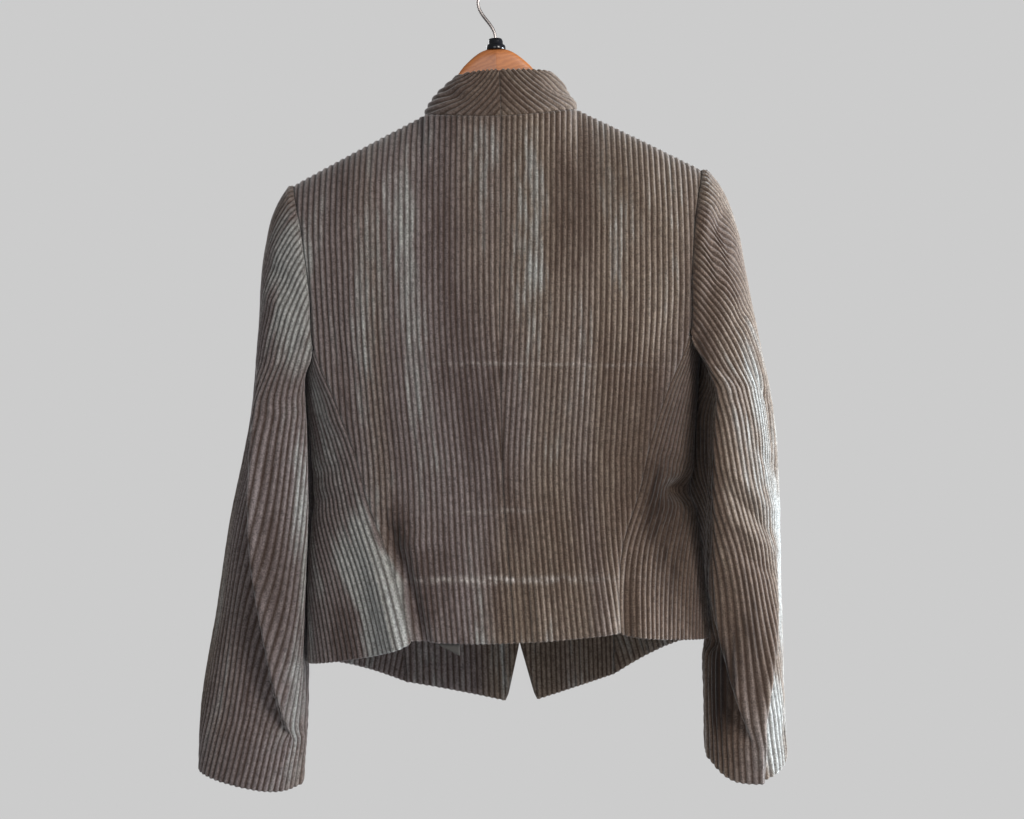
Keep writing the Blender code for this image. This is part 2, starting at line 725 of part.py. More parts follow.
def ferrule(parent):
    """Turn the black ferrule that the hook comes out of."""
    step = (FERRULE_BOTTOM + FERRULE_TOP) / 2
    neck = FERRULE_RADIUS - FERRULE_STEP
    profile = (
        (FERRULE_RADIUS - FERRULE_EDGE, FERRULE_BOTTOM),
        (FERRULE_RADIUS, FERRULE_BOTTOM + FERRULE_EDGE),
        (FERRULE_RADIUS, step - FERRULE_EDGE),
        (neck, step),
        (neck, FERRULE_TOP - FERRULE_EDGE),
        (neck - FERRULE_EDGE, FERRULE_TOP),
    )
    count = 20
    vertices, faces = [], []
    for radius, height in profile:
        for k in range(count):
            turn = 2.0 * math.pi * k / count
            vertices.append((radius * math.cos(turn), radius * math.sin(turn), height))
    for ring in range(len(profile) - 1):
        for k in range(count):
            low, high = ring * count, (ring + 1) * count
            following = (k + 1) % count
            faces.append((low + k, low + following, high + following, high + k))
    faces.append(tuple(range(count)))
    faces.append(tuple(range(len(vertices) - count, len(vertices))))
    foot = np.array((0.0, 0.0, FERRULE_BOTTOM))
    return add_solid("hanger_ferrule", vertices, faces, BLACK_PLASTIC, parent, foot)


def hook_route():
    """Middle of the hook's wire: up from the ferrule, out to the left, over the top and down."""
    centre = HOOK_WIRE / 2 - HOOK_RADIUS
    start = np.array((0.0, FERRULE_TOP + SEAM_GAP))
    meet = np.array((HOOK_RADIUS * math.cos(HOOK_LEAVE), centre + HOOK_RADIUS * math.sin(HOOK_LEAVE)))
    bend_start = start + np.array((0.0, HOOK_PULL))
    bend_meet = meet + HOOK_PULL * np.array((-math.sin(HOOK_LEAVE), math.cos(HOOK_LEAVE)))
    route = []
    for t in np.linspace(0.0, 1.0, 9)[:-1]:
        weights = ((1 - t) ** 3, 3 * t * (1 - t) ** 2, 3 * t * t * (1 - t), t ** 3)
        route.append(sum(w * p for w, p in zip(weights, (start, bend_start, bend_meet, meet))))
    for turn in np.linspace(HOOK_LEAVE, HOOK_END, 22):
        route.append(np.array((HOOK_RADIUS * math.cos(turn), centre + HOOK_RADIUS * math.sin(turn))))
    return route


def hook(parent):
    """Bend the steel hook from round wire."""
    curve = bpy.data.curves.new("hanger_hook", "CURVE")
    curve.dimensions = "3D"
    curve.bevel_depth = HOOK_WIRE / 2 * MM
    curve.bevel_resolution = 2
    curve.use_fill_caps = True
    route = hook_route()
    spline = curve.splines.new("POLY")
    spline.points.add(len(route) - 1)
    for point, (x, z) in zip(spline.points, route):
        point.co = (x * MM, 0.0, z * MM, 1.0)
    return add_object("hanger_hook", curve, STEEL, parent)


def main():
    """Build the jacket and its hanger."""
    for old in list(bpy.data.objects):
        bpy.data.objects.remove(old)
    jacket = bpy.data.objects.new("jacket_on_hanger", None)
    bpy.context.collection.objects.link(jacket)
    waist = (0.0, 0.0, -500.0)
    neck = (0.0, 0.0, NECK_SIDE_HEIGHT)
    for side, name in SIDE_NAMES.items():
        shoulder = (side * 200.0, 0.0, CAP_TOP_HEIGHT)
        body_panel(side, BACK).make(f"back_{name}", CORDUROY, jacket, waist)
        side_panel(side).make(f"side_{name}", CORDUROY, jacket, waist)
        body_panel(side, FRONT).make(f"front_{name}", CORDUROY, jacket, waist)
        hem_facing(side).make(f"facing_{name}", CORDUROY, jacket, waist)
        sleeve(side).make(f"sleeve_{name}", CORDUROY, jacket, shoulder)
        collar_half(side).make(f"collar_{name}", CORDUROY, jacket, neck)
    hem_tab().make("hem_tab", TAB_COTTON, jacket, waist)
    hanger_wood(jacket)
    ferrule(jacket)
    hook(jacket)


main()
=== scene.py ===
"""Dresses the hung corduroy jacket and its wooden hanger for a plain studio picture.

Tables are in millimetres and meshes in metres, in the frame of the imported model: +Z up, +X the wearer's
right, +Y the way the wearer faces, and the origin inside the top of the hanger's hook.
"""

from __future__ import annotations

import logging
import math
from dataclasses import dataclass, field
from enum import Enum, IntEnum
from functools import cache
from typing import Callable, Sequence

import bmesh
import bpy
import numpy as np
from bpy.types import Material, Node, NodeSocket, Object
from mathutils import Matrix, Vector

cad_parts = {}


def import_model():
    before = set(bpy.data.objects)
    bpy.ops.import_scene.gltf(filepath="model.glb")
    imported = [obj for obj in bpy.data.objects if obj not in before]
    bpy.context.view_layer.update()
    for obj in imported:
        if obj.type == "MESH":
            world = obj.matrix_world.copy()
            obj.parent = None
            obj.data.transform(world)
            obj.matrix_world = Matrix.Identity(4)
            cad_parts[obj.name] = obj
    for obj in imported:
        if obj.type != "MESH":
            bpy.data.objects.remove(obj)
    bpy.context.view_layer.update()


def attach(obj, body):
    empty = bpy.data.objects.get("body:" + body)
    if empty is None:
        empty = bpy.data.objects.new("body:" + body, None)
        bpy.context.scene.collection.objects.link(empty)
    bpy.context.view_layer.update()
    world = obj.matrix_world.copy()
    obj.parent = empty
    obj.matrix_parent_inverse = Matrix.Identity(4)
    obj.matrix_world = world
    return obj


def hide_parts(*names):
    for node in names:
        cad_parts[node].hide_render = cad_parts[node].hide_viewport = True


MM = 0.001
BODY_NAME = "root"
SECTION_STEPS = 121
SLEEVE_STEPS = 241
COLLAR_STEPS = 181
BODY_STEPS = 61
ARMPIT_ROW = 0.5
SHARP_ANGLE = math.radians(38.0)
QUARTER = math.pi / 2
LOG = logging.getLogger("jacket")

Array = np.ndarray
Colour = tuple[float, float, float]
Place = Callable[[Array, float], tuple[Array, Array]]
Sockets = bpy.types.bpy_prop_collection


class Sign(IntEnum):
    """One of two ways along an axis."""

    @property
    def word(self) -> str:
        """The name in lower case."""
        return self.name.lower()


class Side(Sign):
    """The wearer's two sides, as signs along X."""

    LEFT = -1
    RIGHT = 1


class Face(Sign):
    """The jacket's two faces, as signs along Y."""

    BACK = -1
    FRONT = 1


class Edge(Enum):
    """How one end of a cloth piece is finished."""

    SEAM = "sewn into its neighbour"
    HEM = "turned under in a roll"


HEMMED = (Edge.HEM, Edge.HEM)
SEWN = (Edge.SEAM, Edge.SEAM)
SEWN_THEN_HEMMED = (Edge.SEAM, Edge.HEM)


class Mark(str, Enum):
    """Values that a cloth mesh carries for its wales and its finish."""

    WALE = "wale"
    CLOTH = "cloth"
    RIB = "rib"
    OUTWARD = "outward"
    # Nap tone together with painted shade and painted highlights.
    NAP = "nap"
    PILE = "pile"


def unit(vectors: Array) -> Array:
    """Vectors of length one."""
    return vectors / np.linalg.norm(vectors, axis=-1, keepdims=True)


def points(x: Array, y: Array, z: Array) -> Array:
    """One array of points from three arrays of coordinates."""
    return np.stack(np.broadcast_arrays(x, y, z), axis=-1).astype(float)


def circle(count: int) -> Array:
    """Angles evenly round a circle."""
    return np.linspace(0.0, 2.0 * math.pi, count + 1)[:-1]


def ease(t: Array) -> Array:
    """Smooth step from 0 to 1."""
    t = np.clip(t, 0.0, 1.0)
    return t * t * (3.0 - 2.0 * t)


def bell(distance: Array, width: float) -> Array:
    """A soft bump of height one."""
    return np.exp(-((distance / width) ** 2))


def running(steps: Array) -> Array:
    """Sum of the steps so far, starting at zero."""
    return np.concatenate(([0.0], np.cumsum(steps)))


def run_length(x: Array, y: Array) -> Array:
    """Length from the start of a line to each of its points."""
    return running(np.hypot(np.diff(x), np.diff(y)))


def add_object(name: str, data: bpy.types.ID) -> Object:
    """Put a new object into the scene."""
    made = bpy.data.objects.new(name, data)
    bpy.context.scene.collection.objects.link(made)
    return made


def closed_mesh(name: str, corners: Array, faces: Sequence[Sequence[int]]) -> bpy.types.Mesh:
    """Make a closed mesh, its faces turned outwards, from corners in millimetres."""
    mesh = bpy.data.meshes.new(name)
    mesh.from_pydata((corners * MM).tolist(), [], faces)
    shell = bmesh.new()
    shell.from_mesh(mesh)
    bmesh.ops.recalc_face_normals(shell, faces=shell.faces)
    shell.to_mesh(mesh)
    shell.free()
    return mesh


class Table:
    """Rows of named columns, each column read as a smooth curve of the first one."""

    def __init__(self, columns: str, *rows: Sequence[float]) -> None:
        """Take the names of the columns, with spaces between them, and the rows in any order."""
        data = np.array(sorted(rows), dtype=float)
        self.axis = data[:, 0]
        self.columns = dict(zip(columns.split(), data.T))
        self.slopes = {name: np.gradient(values, self.axis) for name, values in self.columns.items()}

    def at(self, name: str, place: Array) -> Array:
        """Read a column.

        Args:
            name: The column's name.
            place: Where to read it along the first column. It is held level past the ends.

        Returns:
            The column's value at each place.
        """
        values, slopes = self.columns[name], self.slopes[name]
        place = np.clip(place, self.axis[0], self.axis[-1])
        low = np.clip(np.searchsorted(self.axis, place) - 1, 0, len(self.axis) - 2)
        gap = self.axis[low + 1] - self.axis[low]
        t = (place - self.axis[low]) / gap
        start = (1 + 2 * t) * (1 - t) ** 2 * values[low] + t * (1 - t) ** 2 * gap * slopes[low]
        end = t * t * (3 - 2 * t) * values[low + 1] + t * t * (t - 1) * gap * slopes[low + 1]
        return start + end


@dataclass(frozen=True)
class Crease:
    """A ridge, or a hollow where the rise is negative, laid along a line on the cloth."""

    start: tuple[float, float]
    end: tuple[float, float]
    width: float
    rise: float
    taper: float = 0.55

    def height(self, across: Array, up: Array) -> Array:
        """How far the crease lifts the cloth at places given across and up it."""
        (x0, z0), (x1, z1) = self.start, self.end
        run, climb = x1 - x0, z1 - z0
        t = np.clip(((across - x0) * run + (up - z0) * climb) / (run * run + climb * climb), 0.0, 1.0)
        away = np.hypot(across - x0 - t * run, up - z0 - t * climb)
        return self.rise * (1.0 - self.taper * (2.0 * t - 1.0) ** 2) * bell(away, self.width)


def crease_rows(*rows: Sequence[float]) -> tuple[Crease, ...]:
    """Creases from rows of start across and up, end across and up, width and rise."""
    return tuple(Crease(row[:2], row[2:4], *row[4:]) for row in rows)


def crease_height(creases: Sequence[Crease], across: Array, up: Array) -> Array:
    """The lift of several creases together."""
    total = np.zeros(np.broadcast(across, up).shape)
    for crease in creases:
        total = total + crease.height(across, up)
    return total


@dataclass(frozen=True)
class NapPatch:
    """A place where the pile shows lighter or darker, as seen from behind or in front. Some patches are
    brushed nap; others are painted shade in folds and gaps, and painted highlights on fold ridges and sleeve
    edges.
    """

    face: Face
    x: float
    z: float
    half_width: float
    half_height: float
    lift: float
    turn_over: float = 50.0
    middle: float = 0.0

    def at(self, place: Array) -> Array:
        """Strength of the patch at points in millimetres, fading where the cloth turns to the other face."""
        across = (place[..., 0] - self.x) / self.half_width
        up = (place[..., 2] - self.z) / self.half_height
        seen = ease(0.5 + self.face * (place[..., 1] - self.middle) / self.turn_over)
        return self.lift * seen * np.exp(-(across ** 2) - np.abs(up) ** 3)


def nap_patches(face: Face, *rows: Sequence[float]) -> tuple[NapPatch, ...]:
    """Patches of one face from rows of place, half sizes and lift, and where needed how the cloth turns."""
    return tuple(NapPatch(face, *row) for row in rows)


# Back, side, sleeve and collar patches: besides brushed nap they hold painted light. The strong dark ones are
# painted shade beside the left hem fold, on the right side panel in the shadow of the right sleeve, beside
# the sleeve folds and in the gap between the body and the right sleeve; the strong light ones are painted
# highlights on the left hem fold's crest, the left sleeve cap and the right sleeve's outer edge.
BACK_NAP_AND_LIGHT = nap_patches(
    Face.BACK,
    (-142, -325, 12, 85, 0.85), (-94, -245, 12, 72, 0.75), (-115, -352, 12, 60, 0.5),
    (27, -238, 15, 78, 0.85), (30, -330, 13, 45, 0.45), (-10, -172, 8, 45, 0.35), (103, -255, 11, 60, 0.35),
    (-58, -240, 22, 60, -0.6), (68, -215, 24, 75, -0.7), (-45, -355, 22, 80, -0.6),
    (148, -570, 40, 100, -2.2), (150, -440, 40, 90, -1.1), (40, -560, 60, 70, -0.6),
    (0, -105, 100, 34, -1.1), (95, -420, 30, 90, -0.45), (-20, -430, 26, 70, -0.95),
    (232, -640, 28, 80, -2.1), (243, -430, 25, 120, 0.65), (208, -285, 26, 64, -1.2),
    (-126, -606, 20, 46, 3.4), (-152, -555, 16, 48, 1.6), (-110, -555, 8, 40, -1.3),
    (-101, -604, 7, 40, -1.5), (-168, -636, 16, 34, -1.6), (-181, -578, 13, 34, 0.7),
    (-186, -440, 9, 70, 0.7), (-207, -300, 19, 70, 1.5), (-206, -510, 10, 110, 0.9),
    (-236, -530, 15, 140, -0.9), (-220, -700, 12, 60, 0.7), (-285, -745, 34, 40, -0.2),
    (-268, -540, 12, 130, -0.4), (-280, -660, 26, 50, -0.4), (254, -745, 12, 52, 1.7, 50.0, 34.0),
    (266, -575, 11, 95, 1.2, 50.0, 34.0), (-85, -592, 13, 40, -1.2), (-112, -540, 11, 28, -1.8),
    (200, -715, 18, 66, -2.9, 50.0, 34.0), (190, -450, 12, 120, -4.5, 400.0),
)
FRONT_NAP = nap_patches(
    Face.FRONT,
    (-120, -330, 16, 90, 0.7), (70, -300, 18, 80, 0.6), (130, -520, 20, 70, 0.5), (-40, -480, 24, 90, -0.5),
    (150, -360, 22, 80, -0.5), (-260, -560, 22, 80, 0.5), (240, -480, 20, 90, -0.4),
)


@dataclass(frozen=True)
class ClothSpec:
    """Sizes of the corduroy."""

    thickness: float = 2.0
    pitch: float = 5.5
    rib_height: float = 1.6
    rib_sink: float = 0.8
    seam_gap: float = 0.02
    seam_dip: float = 1.0
    seam_reach: float = 2.0
    rib_start: float = 0.5
    rib_full: float = 1.3
    lip_from: float = 7.0
    lip_width: float = 5.0
    lip_fade: float = 40.0
    roundness: float = 0.8
    unevenness: float = 0.5
    uneven_length: float = 7.0
    flat_pile: float = 0.45
    edge_margin: float = 0.35
    piece_step: float = 0.37
    columns_per_wale: int = 6
    row_length: float = 5.0
    roll_steps: int = 4


CLOTH = ClothSpec()


class NodeTree:
    """Small helper that adds nodes to a node tree and links them."""

    def __init__(self, tree: bpy.types.NodeTree) -> None:
        """Take the tree to add to."""
        self.tree = tree

    def add(self, kind: str, settings: dict | None = None, **inputs: object) -> Node:
        """Add a node.

        Args:
            kind: The node's type.
            settings: Properties of the node itself.
            inputs: Values or sockets for its inputs, by name with spaces as underscores, or _0, _1 by place.

        Returns:
            The new node.
        """
        node = self.tree.nodes.new(kind)
        for key, value in (settings or {}).items():
            setattr(node, key, value)
        self.fill(node, **inputs)
        return node

    def fill(self, node: Node, **inputs: object) -> None:
        """Link or set a node's inputs, named as in add."""
        for key, value in inputs.items():
            socket = node.inputs[int(key[1:])] if key[1:].isdigit() else node.inputs[key.replace("_", " ")]
            self.put(value, socket)

    def put(self, value: object, socket: NodeSocket) -> None:
        """Link a socket or a node's first output to an input, or set the input's value."""
        if isinstance(value, Node):
            value = value.outputs[0]
        if isinstance(value, NodeSocket):
            self.tree.links.new(value, socket)
        else:
            socket.default_value = value

    def math(self, operation: str, *values: object) -> Node:
        """Add a math node on one to three values."""
        node = self.tree.nodes.new("ShaderNodeMath")
        node.operation = operation
        for value, socket in zip(values, node.inputs):
            self.put(value, socket)
        return node

    def mix(self, factor: object, first: object, second: object, blend: str = "MIX") -> NodeSocket:
        """Mix two colours and return the mixed one."""
        node = self.tree.nodes.new("ShaderNodeMix")
        node.data_type = "RGBA"
        node.blend_type = blend
        colours = [socket for socket in node.inputs if socket.type == "RGBA"]
        self.put(factor, node.inputs[0])
        for value, socket in zip((first, second), colours):
            self.put((*value, 1.0) if isinstance(value, tuple) else value, socket)
        return next(socket for socket in node.outputs if socket.type == "RGBA")

    def ramp(self, value: object, low: float, high: float) -> Node:
        """Map a value from a range to 0 to 1 with smooth ends."""
        settings = {"interpolation_type": "SMOOTHSTEP"}
        return self.add("ShaderNodeMapRange", settings, Value=value, From_Min=low, From_Max=high)

    def bell(self, distance: object) -> Node:
        """A soft bump of height one."""
        square = self.math("MULTIPLY", distance, self.math("MULTIPLY", distance, -1.0))
        return self.math("POWER", math.e, square)

    def noise(self, vector: object, scale: object, detail: float = 2.0, **inputs: object) -> NodeSocket:
        """A noise value round one half."""
        return self.add("ShaderNodeTexNoise", Vector=vector, Scale=scale, Detail=detail, **inputs).outputs[0]

    def swing(self, noise: object, size: float, onto: object) -> Node:
        """Add a noise value, taken about one half and scaled, to another value."""
        return self.math("MULTIPLY_ADD", self.math("SUBTRACT", noise, 0.5), size, onto)

    def group(self, group: bpy.types.NodeTree, **inputs: object) -> Sockets:
        """Place a node group and return its outputs by name."""
        return self.add("ShaderNodeGroup", {"node_tree": group}, **inputs).outputs

    def carried(self, mark: Mark, output: str = "Fac") -> NodeSocket:
        """Read a value that the mesh carries."""
        return self.add("ShaderNodeAttribute", {"attribute_name": mark.value}).outputs[output]


def new_material(name: str) -> tuple[Material, NodeTree, Node]:
    """A material, the helper of its node tree and its Principled BSDF."""
    material = bpy.data.materials.new(name)
    material.use_nodes = True
    return material, NodeTree(material.node_tree), material.node_tree.nodes["Principled BSDF"]


class ShaderGroups:
    """Node groups that several finishes share, each built once."""

    @staticmethod
    def _start(
        name: str, inputs: dict[str, float | None], outputs: Sequence[str]
    ) -> tuple[bpy.types.NodeTree, NodeTree, Sockets, Node]:
        """Make an empty group.

        Args:
            name: The group's name.
            inputs: First value of each input by its name, or None for a vector.
            outputs: Name of each output.

        Returns:
            The group, its helper, its inputs by name and its output node.
        """
        group = bpy.data.node_groups.new(name, "ShaderNodeTree")
        for label, value in inputs.items():
            kind = "NodeSocketVector" if value is None else "NodeSocketFloat"
            socket = group.interface.new_socket(name=label, in_out="INPUT", socket_type=kind)
            if value is not None:
                socket.default_value = value
        for label in outputs:
            group.interface.new_socket(name=label, in_out="OUTPUT", socket_type="NodeSocketFloat")
        tree = NodeTree(group)
        return group, tree, tree.add("NodeGroupInput").outputs, tree.add("NodeGroupOutput")

    @classmethod
    @cache
    def fibre(cls) -> bpy.types.NodeTree:
        """Fine fuzz of a cotton surface: a fleck value round one half, and a height for bump."""
        group, tree, given, end = cls._start(
            "cotton_fibre", {"Vector": None, "Fibre Size": 0.9 * MM}, ("Fleck", "Height")
        )
        coarse, fine_share, coarse_share = 0.27, 0.6, 0.4
        scale = tree.math("DIVIDE", 1.0, given["Fibre Size"])
        fine = tree.noise(given["Vector"], scale)
        broad = tree.noise(given["Vector"], tree.math("MULTIPLY", scale, coarse), 3.0)
        fleck = tree.math("MULTIPLY_ADD", fine, fine_share, tree.math("MULTIPLY", broad, coarse_share))
        tree.fill(end, Fleck=fleck, Height=fine)
        return group

    @classmethod
    @cache
    def brushed_bands(cls) -> bpy.types.NodeTree:
        """Long soft bands along the wales, where the pile lies lighter or darker."""
        group, tree, given, end = cls._start(
            "brushed_bands", {"Vector": None, "Width": 0.02, "Length": 0.12}, ("Bands", "Drift")
        )
        across = tree.math("DIVIDE", 1.0, given["Width"])
        along = tree.math("DIVIDE", 1.0, given["Length"])
        scale = tree.add("ShaderNodeCombineXYZ", X=across, Y=along, Z=1.0)
        placed = tree.add("ShaderNodeVectorMath", {"operation": "MULTIPLY"}, _0=given["Vector"], _1=scale)
        broad = 0.31
        tree.fill(end, Bands=tree.noise(placed, 1.0, Roughness=0.45), Drift=tree.noise(placed, broad, 1.0))
        return group

    @classmethod
    @cache
    def pressed_line(cls) -> bpy.types.NodeTree:
        """A level line across the back where a fold has crushed the pile."""
        inputs = {
            "Vector": None, "Height": 0.0, "Tilt": 0.0, "Half Width": 1.6 * MM, "Middle": 0.0, "Reach": 0.1,
            "Strength": 1.0,
        }
        group, tree, given, end = cls._start("pressed_line", inputs, ("Mask",))
        wobble, wobble_scale, turn_over = 5.0 * MM, 38.0, -30.0 * MM
        break_scale, break_range = 150.0, (0.25, 0.7)
        split = tree.add("ShaderNodeSeparateXYZ", Vector=given["Vector"]).outputs
        from_middle = tree.math("SUBTRACT", split["X"], given["Middle"])
        line = tree.math("MULTIPLY_ADD", from_middle, given["Tilt"], given["Height"])
        line = tree.swing(tree.noise(given["Vector"], wobble_scale, 1.0), wobble, line)
        away = tree.math("DIVIDE", tree.math("SUBTRACT", split["Z"], line), given["Half Width"])
        across = tree.math("DIVIDE", from_middle, given["Reach"])
        bump = tree.math("MULTIPLY", tree.bell(away), tree.bell(across))
        broken = tree.ramp(tree.noise(given["Vector"], break_scale), *break_range)
        behind = tree.math("MULTIPLY", tree.ramp(split["Y"], 0.0, turn_over), given["Strength"])
        tree.fill(end, Mask=tree.math("MULTIPLY", bump, tree.math("MULTIPLY", broken, behind)))
        return group


@dataclass(frozen=True)
class PressedLine:
    """Place of one pressed line on the back, in millimetres."""

    height: float
    tilt: float
    half_width: float
    middle: float
    reach: float
    strength: float


@dataclass(frozen=True)
class Corduroy:
    """Taupe wide-wale corduroy: dark ground in the grooves, lighter brushed pile on the wales."""

    name: str = "corduroy"
    groove: Colour = (0.038, 0.022, 0.015)
    light_groove: Colour = (0.062, 0.055, 0.050)
    pile: Colour = (0.180, 0.139, 0.110)
    # The darker pile colours stand for darker nap and for painted shade, the near-black one for painted
    # shadow in deep gaps, and the light pile colour for lighter nap and for painted highlights.
    dark_pile: Colour = (0.108, 0.075, 0.058)
    dark_violet: Colour = (0.104, 0.079, 0.076)
    deep_pile: Colour = (0.020, 0.013, 0.011)
    light_pile: Colour = (0.36, 0.362, 0.348)
    violet_pile: Colour = (0.182, 0.150, 0.147)
    crushed: Colour = (0.56, 0.52, 0.49)
    roughness: float = 0.9
    specular: float = 0.12
    sheen: float = 0.4
    sheen_roughness: float = 0.45
    sheen_tint: Colour = (0.9, 0.9, 0.9)
    fibre: float = 1.3
    fuzz: float = 0.7
    fuzz_height: float = 0.8
    crest_fuzz: float = 0.5
    crest_range: tuple[float, float] = (-0.25, 1.0)
    fleck_range: tuple[float, float] = (0.3, 0.7)
    fleck_least: float = 0.55
    fleck_more: float = 0.9
    band_width: float = 22.0
    band_length: float = 150.0
    band_lean: float = 2.6
    streak_width: float = 4.0
    streak_length: float = 34.0
    streak_lean: float = 2.0
    light_at: float = 1.3
    dark_at: float = 1.2
    most: float = 0.9
    # Range of the nap value over which the pile turns into the near-black painted shadow colour.
    deep_from: float = -1.5
    deep_at: float = -3.2
    warm_from: float = -120.0
    warm_to: float = 60.0
    warm_drift: float = 3.0
    pressed: tuple[PressedLine, ...] = (
        PressedLine(-378.0, -0.05, 1.8, 20.0, 95.0, 0.42),
        PressedLine(-520.0, 0.0, 2.4, -18.0, 40.0, 0.35),
        PressedLine(-585.0, -0.03, 3.6, -24.0, 84.0, 0.72),
    )

    def material(self) -> Material:
        """Build the material, which reads the wale, pile and nap values of a cloth mesh, the nap value
        carrying painted shade and painted highlights too.
        """
        material, tree, shader = new_material(self.name)
        cloth = tree.carried(Mark.CLOTH, "Vector")
        place = tree.add("ShaderNodeTexCoord").outputs["Object"]
        banded = ShaderGroups.brushed_bands()
        bands = tree.group(banded, Vector=cloth, Width=self.band_width * MM, Length=self.band_length * MM)
        narrow, short = self.streak_width * MM, self.streak_length * MM
        streaks = tree.group(banded, Vector=cloth, Width=narrow, Length=short)
        fibre = tree.group(ShaderGroups.fibre(), Vector=place, Fibre_Size=self.fibre * MM)
        # The carried nap value holds painted shade and painted highlights as well as brushed nap; the bands
        # and streaks add nap tone that varies at random.
        lean = tree.swing(bands["Bands"], self.band_lean, tree.carried(Mark.NAP))
        lean = tree.swing(streaks["Bands"], self.streak_lean, lean)
        lighter = tree.math("MULTIPLY", tree.ramp(lean, 0.0, self.light_at), self.most)
        darker = tree.ramp(tree.math("MULTIPLY", lean, -1.0), 0.0, self.dark_at)
        darker = tree.math("MULTIPLY", darker, self.most)
        across = tree.add("ShaderNodeSeparateXYZ", Vector=place).outputs["X"]
        warm = tree.ramp(across, self.warm_from * MM, self.warm_to * MM)
        warmth = tree.ramp(tree.swing(bands["Drift"], self.warm_drift, warm), 0.0, 1.0)
        colour = tree.mix(warmth, self.violet_pile, self.pile)
        colour = tree.mix(darker, colour, tree.mix(warmth, self.dark_violet, self.dark_pile))
        # Painted shadow: a strongly negative nap value turns the pile near black, for the deep shade between
        # the body and the right sleeve.
        colour = tree.mix(tree.ramp(lean, self.deep_from, self.deep_at), colour, self.deep_pile)
        colour = tree.mix(lighter, colour, self.light_pile)
        for line in self.pressed:
            mask = tree.group(
                ShaderGroups.pressed_line(), Vector=place, Height=line.height * MM, Tilt=line.tilt,
                Half_Width=line.half_width * MM, Middle=line.middle * MM, Reach=line.reach * MM,
                Strength=line.strength,
            )
            colour = tree.mix(mask["Mask"], colour, self.crushed)
        fleck = tree.ramp(fibre["Fleck"], *self.fleck_range)
        fleck = tree.math("MULTIPLY_ADD", fleck, self.fleck_more, self.fleck_least)
        grey = tree.add("ShaderNodeCombineXYZ", X=fleck, Y=fleck, Z=fleck)
        colour = tree.mix(1.0, colour, grey.outputs[0], "MULTIPLY")
        crest = tree.swing(fibre["Height"], self.crest_fuzz, tree.carried(Mark.PILE))
        groove = tree.mix(lighter, self.groove, self.light_groove)
        colour = tree.mix(tree.ramp(crest, *self.crest_range), groove, colour)
        deep = self.fuzz_height * MM
        bump = tree.add("ShaderNodeBump", Strength=self.fuzz, Distance=deep, Height=fibre["Height"])
        tree.fill(
            shader, Base_Color=colour, Normal=bump, Roughness=self.roughness, Sheen_Weight=self.sheen,
            Sheen_Roughness=self.sheen_roughness, Sheen_Tint=(*self.sheen_tint, 1.0),
            Specular_IOR_Level=self.specular,
        )
        return material


@dataclass(frozen=True)
class PlainCotton:
    """Pale plain-woven cotton of the hem tab."""

    name: str = "tab_cotton"
    warp: Colour = (0.085, 0.08, 0.074)
    weft: Colour = (0.056, 0.052, 0.048)
    thread: float = 0.7
    fibre: float = 0.6
    weave_share: float = 0.4
    fleck_share: float = 0.6
    relief: float = 0.4
    relief_depth: float = 0.2
    roughness: float = 0.88
    sheen: float = 0.2

    def material(self) -> Material:
        """Build the material with a small even weave."""
        material, tree, shader = new_material(self.name)
        cloth = tree.carried(Mark.CLOTH, "Vector")
        scale = 1.0 / (2.0 * self.thread * MM)
        weave = tree.add("ShaderNodeTexChecker", Vector=cloth, Scale=scale).outputs["Fac"]
        fibre = tree.group(ShaderGroups.fibre(), Vector=cloth, Fibre_Size=self.fibre * MM)
        fleck = tree.math("MULTIPLY", fibre["Fleck"], self.fleck_share)
        tint = tree.math("MULTIPLY_ADD", weave, self.weave_share, fleck)
        height = tree.math("ADD", weave, fibre["Height"])
        deep = self.relief_depth * MM
        bump = tree.add("ShaderNodeBump", Strength=self.relief, Distance=deep, Height=height)
        colour = tree.mix(tint, self.weft, self.warp)
        tree.fill(shader, Base_Color=colour, Normal=bump, Roughness=self.roughness, Sheen_Weight=self.sheen)
        return material


